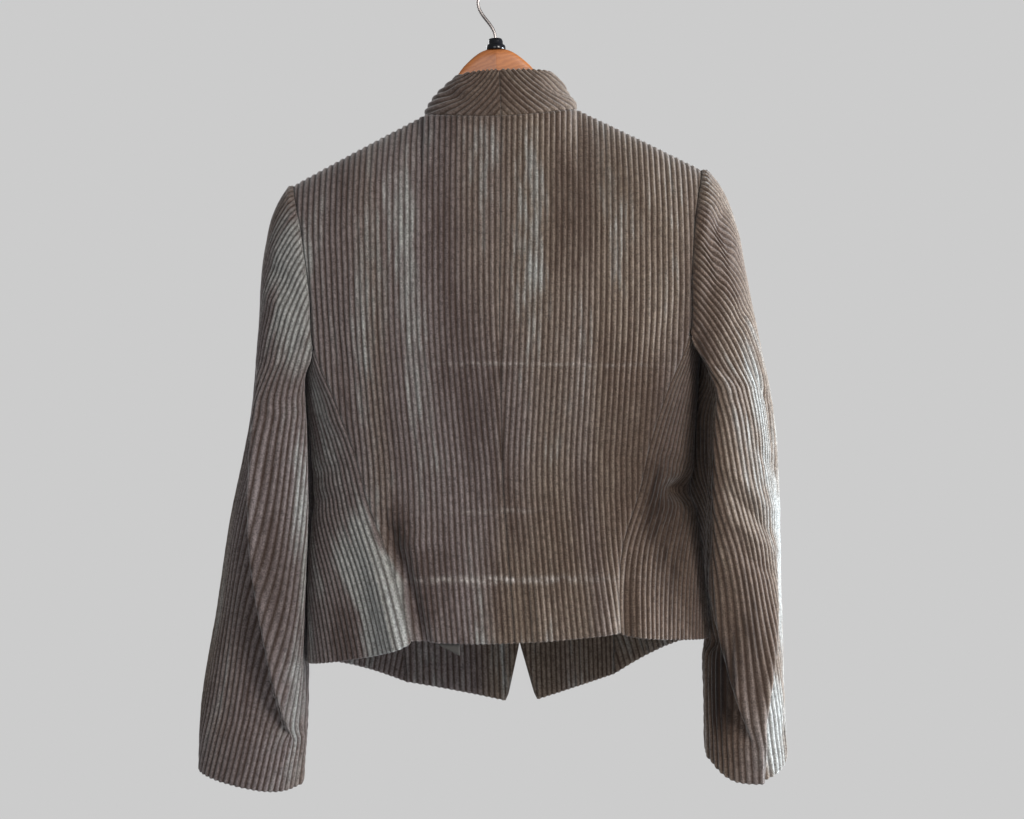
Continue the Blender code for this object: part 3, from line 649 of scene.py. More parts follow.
@dataclass(frozen=True)
class VarnishedWood:
    """Orange-brown stained wood under a satin varnish."""

    name: str = "hanger_wood"
    light: Colour = (0.56, 0.205, 0.062)
    dark: Colour = (0.27, 0.075, 0.020)
    grain: tuple[float, float, float] = (40.0, 120.0, 110.0)
    grain_turn: tuple[float, float, float] = (0.3, 0.75, 0.0)
    figure_scale: float = 0.9
    figure_share: float = 0.85
    ring_bend: float = 9.0
    ring_share: float = 0.25
    pore_scale: float = 6.0
    pore_range: tuple[float, float] = (0.58, 0.72)
    pore_share: float = 0.35
    relief: float = 0.15
    relief_depth: float = 0.2
    least_roughness: float = 0.3
    more_roughness: float = 0.2
    coat: float = 0.35
    coat_roughness: float = 0.2

    def material(self) -> Material:
        """Build the material, its grain running along X."""
        material, tree, shader = new_material(self.name)
        place = tree.add("ShaderNodeTexCoord").outputs["Object"]
        along = tree.add("ShaderNodeMapping", Vector=place, Scale=self.grain, Rotation=self.grain_turn)
        figure = tree.noise(along, self.figure_scale, 5.0, Roughness=0.65)
        rings = tree.add(
            "ShaderNodeTexWave", {"bands_direction": "Z"}, Vector=along, Scale=self.figure_scale,
            Distortion=self.ring_bend, Detail=3.0,
        )
        pores = tree.noise(along, self.pore_scale, 4.0)
        figure = tree.math("MULTIPLY", figure, self.figure_share)
        grain = tree.math("MULTIPLY_ADD", rings.outputs["Fac"], self.ring_share, figure)
        colour = tree.mix(grain, self.dark, self.light)
        dots = tree.math("MULTIPLY", tree.ramp(pores, *self.pore_range), self.pore_share)
        colour = tree.mix(dots, colour, self.dark)
        deep = self.relief_depth * MM
        bump = tree.add("ShaderNodeBump", Strength=self.relief, Distance=deep, Height=pores)
        rough = tree.math("MULTIPLY_ADD", pores, self.more_roughness, self.least_roughness)
        tree.fill(
            shader, Base_Color=colour, Roughness=rough, Normal=bump, Coat_Weight=self.coat,
            Coat_Roughness=self.coat_roughness,
        )
        return material


@dataclass(frozen=True)
class DrawnSteel:
    """Bright drawn wire with faint stains and fine scratches."""

    name: str = "hook_steel"
    bright: Colour = (0.40, 0.36, 0.345)
    dull: Colour = (0.24, 0.215, 0.21)
    stain_scale: float = 45.0
    stain_range: tuple[float, float] = (0.4, 0.75)
    scratch_scale: float = 160.0
    least_roughness: float = 0.34
    more_roughness: float = 0.12

    def material(self) -> Material:
        """Build the material."""
        material, tree, shader = new_material(self.name)
        place = tree.add("ShaderNodeTexCoord").outputs["Object"]
        stain = tree.ramp(tree.noise(place, self.stain_scale), *self.stain_range)
        scratches = tree.noise(place, self.scratch_scale)
        rough = tree.math("MULTIPLY_ADD", scratches, self.more_roughness, self.least_roughness)
        tree.fill(shader, Base_Color=tree.mix(stain, self.bright, self.dull), Roughness=rough, Metallic=1.0)
        return material


@dataclass(frozen=True)
class BlackPlastic:
    """Glossy black moulded plastic."""

    name: str = "ferrule_black"
    colour: Colour = (0.006, 0.006, 0.009)
    dusty: Colour = (0.022, 0.022, 0.025)
    dust_scale: float = 260.0
    dust_range: tuple[float, float] = (0.56, 0.8)
    least_roughness: float = 0.1
    more_roughness: float = 0.2

    def material(self) -> Material:
        """Build the material."""
        material, tree, shader = new_material(self.name)
        place = tree.add("ShaderNodeTexCoord").outputs["Object"]
        dust = tree.noise(place, self.dust_scale, 4.0)
        colour = tree.mix(tree.ramp(dust, *self.dust_range), self.colour, self.dusty)
        rough = tree.math("MULTIPLY_ADD", dust, self.more_roughness, self.least_roughness)
        tree.fill(shader, Base_Color=colour, Roughness=rough)
        return material


class WaleTree:
    """Geometry nodes that raise the wales of the corduroy on a plain cloth mesh."""

    def __init__(self) -> None:
        """Make the tree with its sockets and link its nodes."""
        self.group = bpy.data.node_groups.new("corduroy_wales", "GeometryNodeTree")
        self.group.is_modifier = True
        face = self.group.interface
        face.new_socket(name="Cloth", in_out="INPUT", socket_type="NodeSocketGeometry")
        for name in ("Pitch", "Rib Height", "Roundness", "Unevenness", "Seed"):
            face.new_socket(name=name, in_out="INPUT", socket_type="NodeSocketFloat")
        face.new_socket(name="Finish", in_out="INPUT", socket_type="NodeSocketMaterial")
        face.new_socket(name="Corduroy", in_out="OUTPUT", socket_type="NodeSocketGeometry")
        self._wire()

    def _wire(self) -> None:
        """Link the nodes: a rounded profile of the wale value moves each point along its outward value."""
        tree = NodeTree(self.group)
        start, end = tree.add("NodeGroupInput"), tree.add("NodeGroupOutput")
        wale = self._named(tree, Mark.WALE, "FLOAT")
        rib = self._named(tree, Mark.RIB, "FLOAT")
        outward = self._named(tree, Mark.OUTWARD, "FLOAT_VECTOR")
        phase = tree.math("FRACT", tree.math("DIVIDE", wale, start.outputs["Pitch"]))
        wave = tree.math("COSINE", tree.math("MULTIPLY", phase, 2.0 * math.pi))
        fall = tree.math("MAXIMUM", tree.math("MULTIPLY_ADD", wave, -0.5, 0.5), 0.0)
        dome = tree.math("POWER", fall, start.outputs["Roundness"])
        place = tree.add("GeometryNodeInputPosition")
        noise = tree.add(
            "ShaderNodeTexNoise", {"noise_dimensions": "4D"}, Vector=place, W=start.outputs["Seed"],
            Scale=1.0 / (CLOTH.uneven_length * MM), Detail=2.0,
        )
        rough = tree.math("SUBTRACT", noise.outputs[0], 0.5)
        rough = tree.math("MULTIPLY", rough, start.outputs["Unevenness"])
        height = tree.math("MULTIPLY", start.outputs["Rib Height"], tree.math("ADD", dome, rough))
        lift = tree.math("MULTIPLY", height, rib)
        offset = tree.add("ShaderNodeVectorMath", {"operation": "SCALE"}, Vector=outward, Scale=lift)
        moved = tree.add("GeometryNodeSetPosition", Geometry=start.outputs["Cloth"], Offset=offset)
        flat = tree.math("MULTIPLY", tree.math("SUBTRACT", 1.0, rib), CLOTH.flat_pile)
        pile = tree.math("MULTIPLY_ADD", dome, rib, flat)
        stored = tree.add(
            "GeometryNodeStoreNamedAttribute", {"data_type": "FLOAT", "domain": "POINT"},
            Geometry=moved, Name=Mark.PILE.value, Value=pile,
        )
        whole = tree.add("GeometryNodeRealizeInstances", Geometry=stored)
        dressed = tree.add("GeometryNodeSetMaterial", Geometry=whole, Material=start.outputs["Finish"])
        tree.put(dressed, end.inputs["Corduroy"])

    @staticmethod
    def _named(tree: NodeTree, mark: Mark, kind: str) -> NodeSocket:
        """Read a value that the mesh carries."""
        node = tree.add("GeometryNodeInputNamedAttribute", {"data_type": kind}, Name=mark.value)
        return node.outputs["Attribute"]

    def raise_wales(
        self, piece: Object, pitch: float, height: float, seed: float, finish: Material
    ) -> None:
        """Run the tree on a cloth piece and keep the result as its plain mesh.

        Args:
            piece: The cloth, whose mesh carries the wale, rib and outward values.
            pitch: Distance between wales, in millimetres.
            height: Height of a wale, in millimetres.
            seed: Place in the noise that makes the wales uneven.
            finish: Material of the cloth.
        """
        modifier = piece.modifiers.new("wales", "NODES")
        modifier.node_group = self.group
        values = {
            "Pitch": pitch * MM, "Rib Height": height * MM, "Roundness": CLOTH.roundness,
            "Unevenness": CLOTH.unevenness, "Seed": seed, "Finish": finish,
        }
        for item in self.group.interface.items_tree:
            if item.item_type == "SOCKET" and item.name in values:
                modifier[item.identifier] = values[item.name]
        graph = bpy.context.evaluated_depsgraph_get()
        made = bpy.data.meshes.new_from_object(piece.evaluated_get(graph))
        piece.modifiers.remove(modifier)
        old, piece.data = piece.data, made
        bpy.data.meshes.remove(old)
        made.name = piece.name
        made.shade_smooth()


@dataclass
class ClothPiece:
    """One cut piece of cloth as a closed wall, laid on a form by its place function."""

    name: str
    place: Place
    span: Callable[[float], tuple[float, float]]
    rows: Sequence[float]
    lean: Callable[[float], float] = field(default=lambda row: 0.0)
    stretch: Callable[[float], float] = field(default=lambda row: 1.0)
    ends: tuple[Edge, Edge] = (Edge.HEM, Edge.SEAM)
    sides: tuple[Edge, Edge] = SEWN
    thickness: float = CLOTH.thickness
    pitch: float = CLOTH.pitch
    ribbed: bool = True
    lip: float = 0.0
    inside_ribs_to: float = -1.0
    step: float = 0.0
    wale_at: Callable[[Array, float], Array] | None = None
    # Patches of nap tone, painted shade and painted highlights.
    nap: Sequence[NapPatch] = ()

    def __post_init__(self) -> None:
        """Start with no points and no faces."""
        self.blocks: list[tuple[Array, Array, Array, Array]] = []
        self.faces: list[Array] = []
        self.count = 0

    def _keep(self, place: Array, outward: Array, wale: Array, rib: Array) -> Array:
        """Store a block of points.

        Args:
            place: Points in millimetres.
            outward: Direction that a wale on each point rises in.
            wale: Distance of each point across the wales.
            rib: Share of the full wale height at each point.

        Returns:
            The points' numbers, in the shape of the block.
        """
        shape = place.shape[:-1]
        ids = self.count + np.arange(int(np.prod(shape))).reshape(shape)
        vectors = (np.broadcast_to(part, place.shape).reshape(-1, 3) for part in (place, outward))
        values = (np.broadcast_to(part, shape).ravel() for part in (wale, rib))
        self.blocks.append((*vectors, *values))
        self.count += ids.size
        return ids

    def _columns(self, step: float) -> tuple[Array, Array, Array]:
        """Place the columns of every row.

        Args:
            step: Distance between columns, in millimetres.

        Returns:
            The place of each column across the cloth, its wale value, and the column that stands for it
            where the edge of the piece has cut it off.
        """
        spans = np.array([self.span(row) for row in self.rows])
        leans = np.array([self.lean(row) for row in self.rows])[:, None]
        wider = np.array([self.stretch(row) for row in self.rows])[:, None]
        low, high = spans[:, :1], spans[:, 1:]
        first = math.floor(((low - leans) / wider).min() / step) - 1
        last = math.ceil(((high - leans) / wider).max() / step) + 1
        raw = np.arange(first, last + 1)[None, :] * step * wider + leans
        margin = CLOTH.edge_margin * step
        inside = (raw > low + margin) & (raw < high - margin)
        number = np.arange(raw.shape[1])
        left = np.where(inside, number, raw.shape[1]).min(axis=1)[:, None] - 1
        right = np.where(inside, number, -1).max(axis=1)[:, None] + 1
        at = np.where(number <= left, low, np.where(number >= right, high, raw))
        return at, (at - leans) / wider, np.clip(number[None, :], left, right)

    def _seam_shape(self, at: Array, place: Array) -> tuple[Array, Array]:
        """Shape the cloth beside its seams.

        Args:
            at: Place of each column across the cloth.
            place: Points of the grid.

        Returns:
            How far each point is lifted, and its share of the full wale height.
        """
        away = np.full(at.shape, math.inf)
        if self.sides[0] is Edge.SEAM:
            away = np.minimum(away, at - at[:, :1])
        if self.sides[1] is Edge.SEAM:
            away = np.minimum(away, at[:, -1:] - at)
        steps = np.linalg.norm(np.diff(place, axis=0), axis=-1)
        run = np.concatenate((np.zeros((1, at.shape[1])), np.cumsum(steps, axis=0)))
        lip = self.lip * bell(away - CLOTH.lip_from, CLOTH.lip_width)
        lip = lip * ease((run[-1:] - run) / CLOTH.lip_fade)
        if self.ends[0] is Edge.SEAM:
            away = np.minimum(away, run)
        if self.ends[1] is Edge.SEAM:
            away = np.minimum(away, run[-1:] - run)
        dip = CLOTH.seam_dip * bell(away, CLOTH.seam_reach)
        sink = CLOTH.rib_sink if self.ribbed else 0.0
        return lip - dip - sink, ease((away + CLOTH.rib_start) / CLOTH.rib_full)

    def _lay(self, step: float, sunk: float) -> tuple[Array, Array, Array, Array, Array, Array]:
        """Lay one face of the wall on the form.

        Args:
            step: Distance between its columns, in millimetres.
            sunk: How far it lies below the outer face.

        Returns:
            The columns' places across, wale values and stand-ins, then the points, their outward directions
            and their share of the full wale height.
        """
        at, wale, stand = self._columns(step)
        grid = [self.place(where, row) for where, row in zip(at, self.rows)]
        place, outward = (np.stack(part) for part in zip(*grid))
        lift, rib = self._seam_shape(at, place)
        return at, wale, stand, place + outward * (lift - sunk)[..., None], outward, rib

    def build(self) -> None:
        """Work out the outer face, the rolled hems, the inner face and the rims."""
        fine = self.step or self.pitch / (CLOTH.columns_per_wale if self.ribbed else 2)
        at, wale, stand, place, outward, rib = self._lay(fine, 0.0)
        if self.wale_at is not None:
            wale = np.stack([self.wale_at(where, row) for where, row in zip(at, self.rows)])
        self.base = place
        outer = np.take_along_axis(self._keep(place, outward, wale, rib * self.ribbed), stand, axis=1)
        at_in, wale_in, stand_in, place_in, out_in, _ = self._lay(fine * 2, self.thickness)
        inside = np.array([float(row < self.inside_ribs_to) for row in self.rows])[:, None]
        inner = np.take_along_axis(self._keep(place_in, -out_in, wale_in, inside), stand_in, axis=1)
        self._skin(outer)
        self._skin(inner)
        for end in (0, -1):
            rim = outer[end]
            corner = [[outer[end][0]], [outer[end][-1]]]
            if self.ends[end] is Edge.HEM:
                inward = 1 if end == 0 else -2
                down = unit(place[end] - place[inward])
                for step in range(1, CLOTH.roll_steps):
                    turn = math.pi * step / CLOTH.roll_steps
                    way = outward[end] * math.cos(turn) + down * math.sin(turn)
                    rolled = place[end] + (way - outward[end]) * self.thickness / 2
                    share = rib[end] * self.ribbed * (1.0 + math.cos(turn)) / 2
                    ids = self._keep(rolled, way, wale[end], share)[stand[end]]
                    self._skin(np.stack((rim, ids)))
                    rim = ids
                    corner[0].append(ids[0])
                    corner[1].append(ids[-1])
            self._zip(rim, inner[end], at[end], at_in[end])
            for side, ids in zip((0, -1), corner):
                for first, second in zip(ids, ids[1:]):
                    self.faces.append(np.array([[first, second, inner[end][side]]]))
        for side in (0, -1):
            self._skin(np.stack((outer[:, side], inner[:, side])))

    def _skin(self, ids: Array) -> None:
        """Add the triangles between neighbouring rows and columns."""
        a, b, c, d = ids[:-1, :-1], ids[:-1, 1:], ids[1:, 1:], ids[1:, :-1]
        both = np.concatenate([np.stack(corners, -1).reshape(-1, 3) for corners in ((a, b, c), (a, c, d))])
        whole = (both[:, 0] != both[:, 1]) & (both[:, 1] != both[:, 2]) & (both[:, 0] != both[:, 2])
        self.faces.append(both[whole])

    def _zip(self, outer: Array, inner: Array, outer_at: Array, inner_at: Array) -> None:
        """Close the rim between two rows of points that have different numbers of columns."""
        outer, first = np.unique(outer, return_index=True)
        outer_at = outer_at[first]
        inner, first = np.unique(inner, return_index=True)
        inner_at = inner_at[first]
        made = []
        i = j = 0
        while i < len(outer) - 1 or j < len(inner) - 1:
            step = j == len(inner) - 1 or (i < len(outer) - 1 and outer_at[i + 1] <= inner_at[j + 1])
            if step:
                made.append((outer[i], outer[i + 1], inner[j]))
                i += 1
            else:
                made.append((outer[i], inner[j + 1], inner[j]))
                j += 1
        self.faces.append(np.array(made))

    def cut(self) -> tuple[float, float, float]:
        """Width, length and area of the flat cut, in metres."""
        a, b, c, d = self.base[:-1, :-1], self.base[:-1, 1:], self.base[1:, 1:], self.base[1:, :-1]
        halves = [np.linalg.norm(np.cross(p - a, q - a), axis=-1) for p, q in ((b, c), (c, d))]
        area = sum(halves).sum() / 2 * MM ** 2
        width = max(high - low for low, high in (self.span(row) for row in self.rows)) * MM
        length = np.linalg.norm(np.diff(self.base, axis=0), axis=-1).sum(axis=0).max() * MM
        return width, max(length, area / width), area

    def make(self) -> Object:
        """Turn the wall into an object whose mesh carries the cloth's values."""
        self.build()
        faces = np.concatenate(self.faces)
        used, faces = np.unique(faces, return_inverse=True)
        place, outward, wale, rib = (np.concatenate(part)[used] for part in zip(*self.blocks))
        # The nap value sums the patches, painted shade and painted highlights among them.
        nap = np.zeros(len(used))
        for patch in self.nap:
            nap = nap + patch.at(place)
        mesh = closed_mesh(self.name, place, faces.reshape(-1, 3).tolist())
        apart = np.full(len(used), len(self.name) * CLOTH.piece_step)
        cloth = np.stack((wale * MM, place[:, 2] * MM, apart), axis=-1)
        for mark, values in ((Mark.WALE, wale * MM), (Mark.RIB, rib), (Mark.NAP, nap)):
            layer = mesh.attributes.new(mark.value, "FLOAT", "POINT")
            layer.data.foreach_set("value", values.astype(np.float32))
        for mark, values in ((Mark.OUTWARD, outward), (Mark.CLOTH, cloth)):
            layer = mesh.attributes.new(mark.value, "FLOAT_VECTOR", "POINT")
            layer.data.foreach_set("vector", values.astype(np.float32).ravel())
        return add_object(self.name, mesh)


def even_rows(
    stops: Sequence[float], lengths: Sequence[float], apart: float = CLOTH.row_length
) -> list[float]:
    """Spread rows evenly between stops.

    Args:
        stops: Row values in order.
        lengths: Real length of each stretch between two stops, in millimetres.
        apart: Distance between rows, in millimetres.

    Returns:
        Row values from the first stop to the last.
    """
    rows = [stops[0]]
    for low, high, length in zip(stops, stops[1:], lengths):
        count = max(2, round(length / apart))
        rows += [low + (high - low) * k / count for k in range(1, count + 1)]
    return rows


# Body sections. Three columns say how far the hung jacket sways across: its centre back, the middle
# between its sides, and its centre front. The others are the half width at the side, the depths of the
# back and front at the centre, and where the back and front seams lie (above the armpit, the armhole).
BODY = Table(
    "height behind middle ahead side back back_seam back_seam_depth front front_seam front_seam_depth",
    (-124, 3, -1, 3, 203, 62, 206, 56, 60, 206, 56),
    (-188, 0, -3, 2, 203, 62, 203, 56, 60, 203, 56),
    (-240, -2, -4, 2, 202, 71, 193, 58, 70, 193, 58),
    (-300, -5, -4, 1, 200, 77, 187, 58, 76, 187, 58),
    (-356, -7, -5, 1, 198, 78, 184, 55, 78, 184, 55),
    (-410, -8, -7, 0, 195, 73, 162, 56, 75, 160, 57),
    (-460, -9, -8, 0, 191, 65, 145, 51, 69, 144, 55),
    (-505, -9, -9, 0, 190, 61, 134, 51, 66, 136, 56),
    (-560, -7, -10, 0, 196, 71, 115, 62, 71, 124, 61),
    (-640, -4, -10, 1, 200, 86, 102, 78, 80, 112, 70),
    (-726, -4, -10, 1, 202, 92, 98, 84, 84, 108, 74),
)

# How far the back seams swing across towards the hem.
SEAM_SWING = Table("height shift", (-650, 9.5), (-600, 4), (-555, 0), (-500, 0))

# Cloth taken out along the centre back seam, which turns its wales into a V above the waist.
CENTRE_BACK = Table(
    "height taken", (-645, 11), (-560, 11), (-480, 11), (-420, 7), (-350, 2.5), (-250, 0.5), (-132, 0)
)

# Folds that open from the back seam towards the hem: start, distance from the seam, half width, rise.
HEM_FOLDS = {
    Side.LEFT: ((-500, -10, 9, -12), (-500, 12, 13, 14)),
    Side.RIGHT: ((-530, -16, 14, 3), (-530, 6, 8, -7), (-530, 28, 15, 3)),
}

# Creases of the back, at a distance round from the centre back and a height. Past the back seam they
# lie on the side panel.
BACK_CREASES = {
    Side.LEFT: crease_rows(
        (118, -524, 98, -590, 10, -7), (84, -528, 86, -574, 9, 3), (40, -425, 30, -515, 18, -1.5),
        (88, -158, 158, -248, 13, 2), (176, -322, 140, -400, 12, -2), (150, -430, 186, -418, 9, 2),
        (160, -470, 206, -482, 8, -2.2), (160, -502, 212, -506, 9, -2.6), (58, -560, 52, -640, 10, 1.6),
        (112, -537, 66, -531, 6, -2.2), (106, -550, 60, -546, 6, 2), (100, -564, 66, -560, 6, -1.8),
    ),
    Side.RIGHT: crease_rows(
        (12, -588, 12, -648, 7, -3), (26, -598, 25, -648, 7, 2.2), (168, -506, 206, -507, 12, -18),
        (150, -470, 196, -489, 6, -2.4), (158, -495, 190, -495, 5, 1.5), (142, -522, 196, -501, 6, -2.2),
        (152, -552, 198, -509, 7, -2), (138, -480, 94, -464, 8, -1.8), (138, -508, 86, -512, 8, -1.8),
        (90, -160, 170, -250, 14, 1.6), (176, -330, 132, -396, 13, -2), (45, -410, 36, -505, 18, -1.4),
    ),
}
FRONT_CREASES = {
    Side.LEFT: crease_rows(
        (112, -520, 88, -592, 13, -4), (150, -300, 106, -384, 14, -3), (60, -460, 42, -540, 16, 2.2),
        (70, -600, 66, -690, 11, 1.8),
    ),
    Side.RIGHT: crease_rows(
        (116, -500, 84, -566, 12, -3.5), (158, -280, 98, -352, 14, -3), (32, -600, 32, -672, 10, 1.8),
        (80, -440, 62, -520, 15, 2),
    ),
}


def side_section(turn: Array, height: Array) -> tuple[Array, Array]:
    """How far out and forward the side of the body lies, from the back seam round to the front seam."""
    seam, depth = (
        np.where(turn < QUARTER, BODY.at("back_" + word, height), BODY.at("front_" + word, height))
        for word in ("seam", "seam_depth")
    )
    return seam + (BODY.at("side", height) - seam) * np.sin(turn) ** 2, -depth * np.cos(turn)


@dataclass(frozen=True)
class JacketForm:
    """Surface that the cut pieces of the jacket lie on."""

    neck_half: float = 77.0
    neck_back: float = 42.0
    neck_front: float = 50.0
    neck_side_height: float = -124.0
    neck_back_height: float = -132.0
    neck_front_height: float = -195.0
    shoulder_slope: float = 0.52
    shoulder_round: float = 90.0
    neck_round: float = 150.0
    neck_swell: float = 0.9
    shoulder_swell: float = 0.5
    shoulder_turn: float = 30.0
    shoulder_lean: float = math.radians(14.0)
    front_neck_curve: float = 2.6
    collar_lean: float = math.radians(35.0)
    armpit_height: float = -356.0
    back_hem_height: float = -645.0
    back_hem_half: float = 102.0
    back_hem_rise: float = 5.0
    front_point_height: float = -726.0
    front_hem_half: float = 110.0
    front_hem_slope: float = 0.27
    front_wedge_top: float = -663.0
    front_wedge_slope: float = 0.25
    front_point_round: float = 2.0
    front_point_reach: float = 12.0
    back_curve: float = 2.4
    side_hem_back: float = 1.1
    side_hem_front: float = 3.0
    edge_guess: float = 190.0
    settle_steps: int = 20

    def top_edge(self, face: Face, d: Array) -> tuple[Array, Array]:
        """Depth and height of the neck and shoulder seam at a distance from the centre line."""
        across = np.clip(d / self.neck_half, 0.0, 1.0)
        oval = np.sqrt(1.0 - across ** 2)
        if face is Face.BACK:
            depth = self.neck_back * oval
            neck = self.neck_back_height + (self.neck_side_height - self.neck_back_height) * across ** 2
        else:
            depth = self.neck_front * oval
            climb = across ** self.front_neck_curve
            neck = self.neck_front_height + (self.neck_side_height - self.neck_front_height) * climb
        height = neck - self.shoulder_slope * np.maximum(d - self.neck_half, 0.0)
        return np.maximum(depth, CLOTH.seam_gap / 2), height

    def neck_direction(self, side: Side, face: Face, across: Array) -> Array:
        """Outward direction of the cloth at the neck seam, which leans in towards the neck."""
        level = math.cos(self.collar_lean)
        oval = np.sqrt(1.0 - across ** 2)
        return points(side * across * level, face * oval * level, math.sin(self.collar_lean))

    def hem_fold(self, side: Side, height: Array, from_seam: Array) -> Array:
        """How far the flared folds beside the back seam stand out."""
        out = np.zeros(np.broadcast(height, from_seam).shape)
        for start, place, width, rise in HEM_FOLDS[side]:
            grow = ease((start - height) / (start - self.back_hem_height))
            out = out + rise * grow * bell(from_seam - place, width)
        return out

    def sway(self, face: Face, d: Array, height: Array) -> Array:
        """How far the hung jacket swings across, from its centre line out to its seam."""
        back = face is Face.BACK
        centre = BODY.at("behind" if back else "ahead", height)
        seam = BODY.at(face.word + "_seam", height)
        edge = BODY.at("middle", height) + (SEAM_SWING.at("shift", height) if back else 0.0)
        return centre + (edge - centre) * np.clip(d / seam, 0.0, 1.0) ** 2

    def place(self, side: Side, face: Face, d: Array, height: Array) -> tuple[Array, Array]:
        """Find a point of the back or of a front.

        Args:
            side: Which half of the jacket.
            face: The back or the front.
            d: Distance from the centre line.
            height: Height of the point.

        Returns:
            The points and their outward directions.
        """
        word = face.word
        seam = BODY.at(word + "_seam", height)
        seam_depth = BODY.at(word + "_seam_depth", height)
        centre_depth = BODY.at(word, height)
        round_off = 1.0 - np.clip(d / seam, 0.0, 1.0) ** self.back_curve
        full = seam_depth + (centre_depth - seam_depth) * round_off
        top_depth, top_height = self.top_edge(face, d)
        outside_neck = ease((d - self.neck_half / 2) / (1.5 * self.neck_half))
        reach = self.neck_round + (self.shoulder_round - self.neck_round) * outside_neck
        power = self.neck_swell + (self.shoulder_swell - self.neck_swell) * outside_neck
        below = np.clip((top_height - height) / reach, 0.0, 1.0)
        depth = top_depth + (full - top_depth) * (1.0 - (1.0 - below) ** 2) ** power
        half = BODY.at("side", height)
        ring = unit(points(side * d / half ** 2, face * full / centre_depth ** 2, 0.0 * d))
        across = np.clip(d / self.neck_half, 0.0, 1.0)
        past = ease((d - self.neck_half) / self.shoulder_turn)[..., None]
        shoulder = points(side * math.sin(self.shoulder_lean), 0.0, math.cos(self.shoulder_lean))
        top = self.neck_direction(side, face, across) * (1.0 - past) + shoulder * past
        near_top = ((1.0 - below) ** 2)[..., None]
        out = unit(ring * (1.0 - near_top) + top * near_top)
        place = points(self.sway(face, d, height) + side * d, face * depth, height)
        if face is Face.BACK:
            lift = self.hem_fold(side, height, d - seam) + crease_height(BACK_CREASES[side], d, height)
        else:
            lift = crease_height(FRONT_CREASES[side], d, height)
        return place + out * lift[..., None], out

    def hem_height(self, face: Face, d: Array) -> Array:
        """Height of the back or front hem."""
        if face is Face.BACK:
            return self.back_hem_height + self.back_hem_rise * np.clip(d / self.back_hem_half, 0.0, 1.0) ** 2
        return self.front_point_height + self.front_hem_slope * np.minimum(d, self.front_hem_half)

    def row_height(self, row: float, hem: Array, top: Array) -> Array:
        """Height of a body row: 0 is the hem, ARMPIT_ROW the armpit and 1 the top seam."""
        below = hem + (self.armpit_height - hem) * row / ARMPIT_ROW
        above = self.armpit_height + (top - self.armpit_height) * (row - ARMPIT_ROW) / (1.0 - ARMPIT_ROW)
        return below if row < ARMPIT_ROW else above

    def panel_height(self, face: Face, d: Array, row: float) -> Array:
        """Height of a row of a back or front panel at a distance from the centre line."""
        return self.row_height(row, self.hem_height(face, d), self.top_edge(face, d)[1])

    def panel_edge(self, face: Face, row: float) -> float:
        """Distance of the panel's seam or armhole edge from the centre line."""
        d = np.array(self.edge_guess)
        for _ in range(self.settle_steps):
            d = BODY.at(face.word + "_seam", self.panel_height(face, d, row))
        return float(d)

    def front_opening(self, row: float) -> float:
        """Half the gap between the fronts, which part in a wedge towards their points."""
        d = np.array(CLOTH.seam_gap / 2)
        for _ in range(self.settle_steps):
            height = self.panel_height(Face.FRONT, d, row)
            wedge = self.front_wedge_slope * np.maximum(self.front_wedge_top - height, 0.0)
            tip = self.front_point_height + self.front_point_reach
            rounded = self.front_point_round * ease((tip - height) / self.front_point_reach)
            d = CLOTH.seam_gap / 2 + wedge + rounded
        return float(d)


@dataclass
class Dresser:
    """Raises the wales of the cloth pieces, gives them their finish and enters them in the frame."""

    corduroy: Material
    cotton: Material
    wales: WaleTree
    seed_step: float = 3.7
    made: int = 0

    def enter(self, piece: Object, node: str, slot: str) -> None:
        """Let a piece ride on the body in place of its CAD node."""
        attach(piece, BODY_NAME)
        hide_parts(node)
        LOG.info("%s stands for %s with %d faces", piece.name, node, len(piece.data.polygons))

    @staticmethod
    def panels(side: Side) -> list[str]:
        """Names of the back and front panels that other pieces of a side are sewn to."""
        return [f"cloth_back_{side.word}", f"cloth_front_{side.word}"]

    def hang(self, cloth: ClothPiece, node: str, rests_on: Sequence[str]) -> None:
        """Make one piece of hung cloth.

        Args:
            cloth: The cut piece.
            node: The CAD node that it stands for.
            rests_on: Names of what it hangs from. Not used.
        """
        piece = cloth.make()
        finish = self.corduroy if cloth.ribbed else self.cotton
        self.made += 1
        self.wales.raise_wales(piece, cloth.pitch, CLOTH.rib_height, self.seed_step * self.made, finish)
        self.enter(piece, node, "corduroy" if cloth.ribbed else "tab_cotton")
        width, length, area = cloth.cut()
        LOG.info("%s is cut to %.3f by %.3f m, %.4f square metres", piece.name, width, length, area)


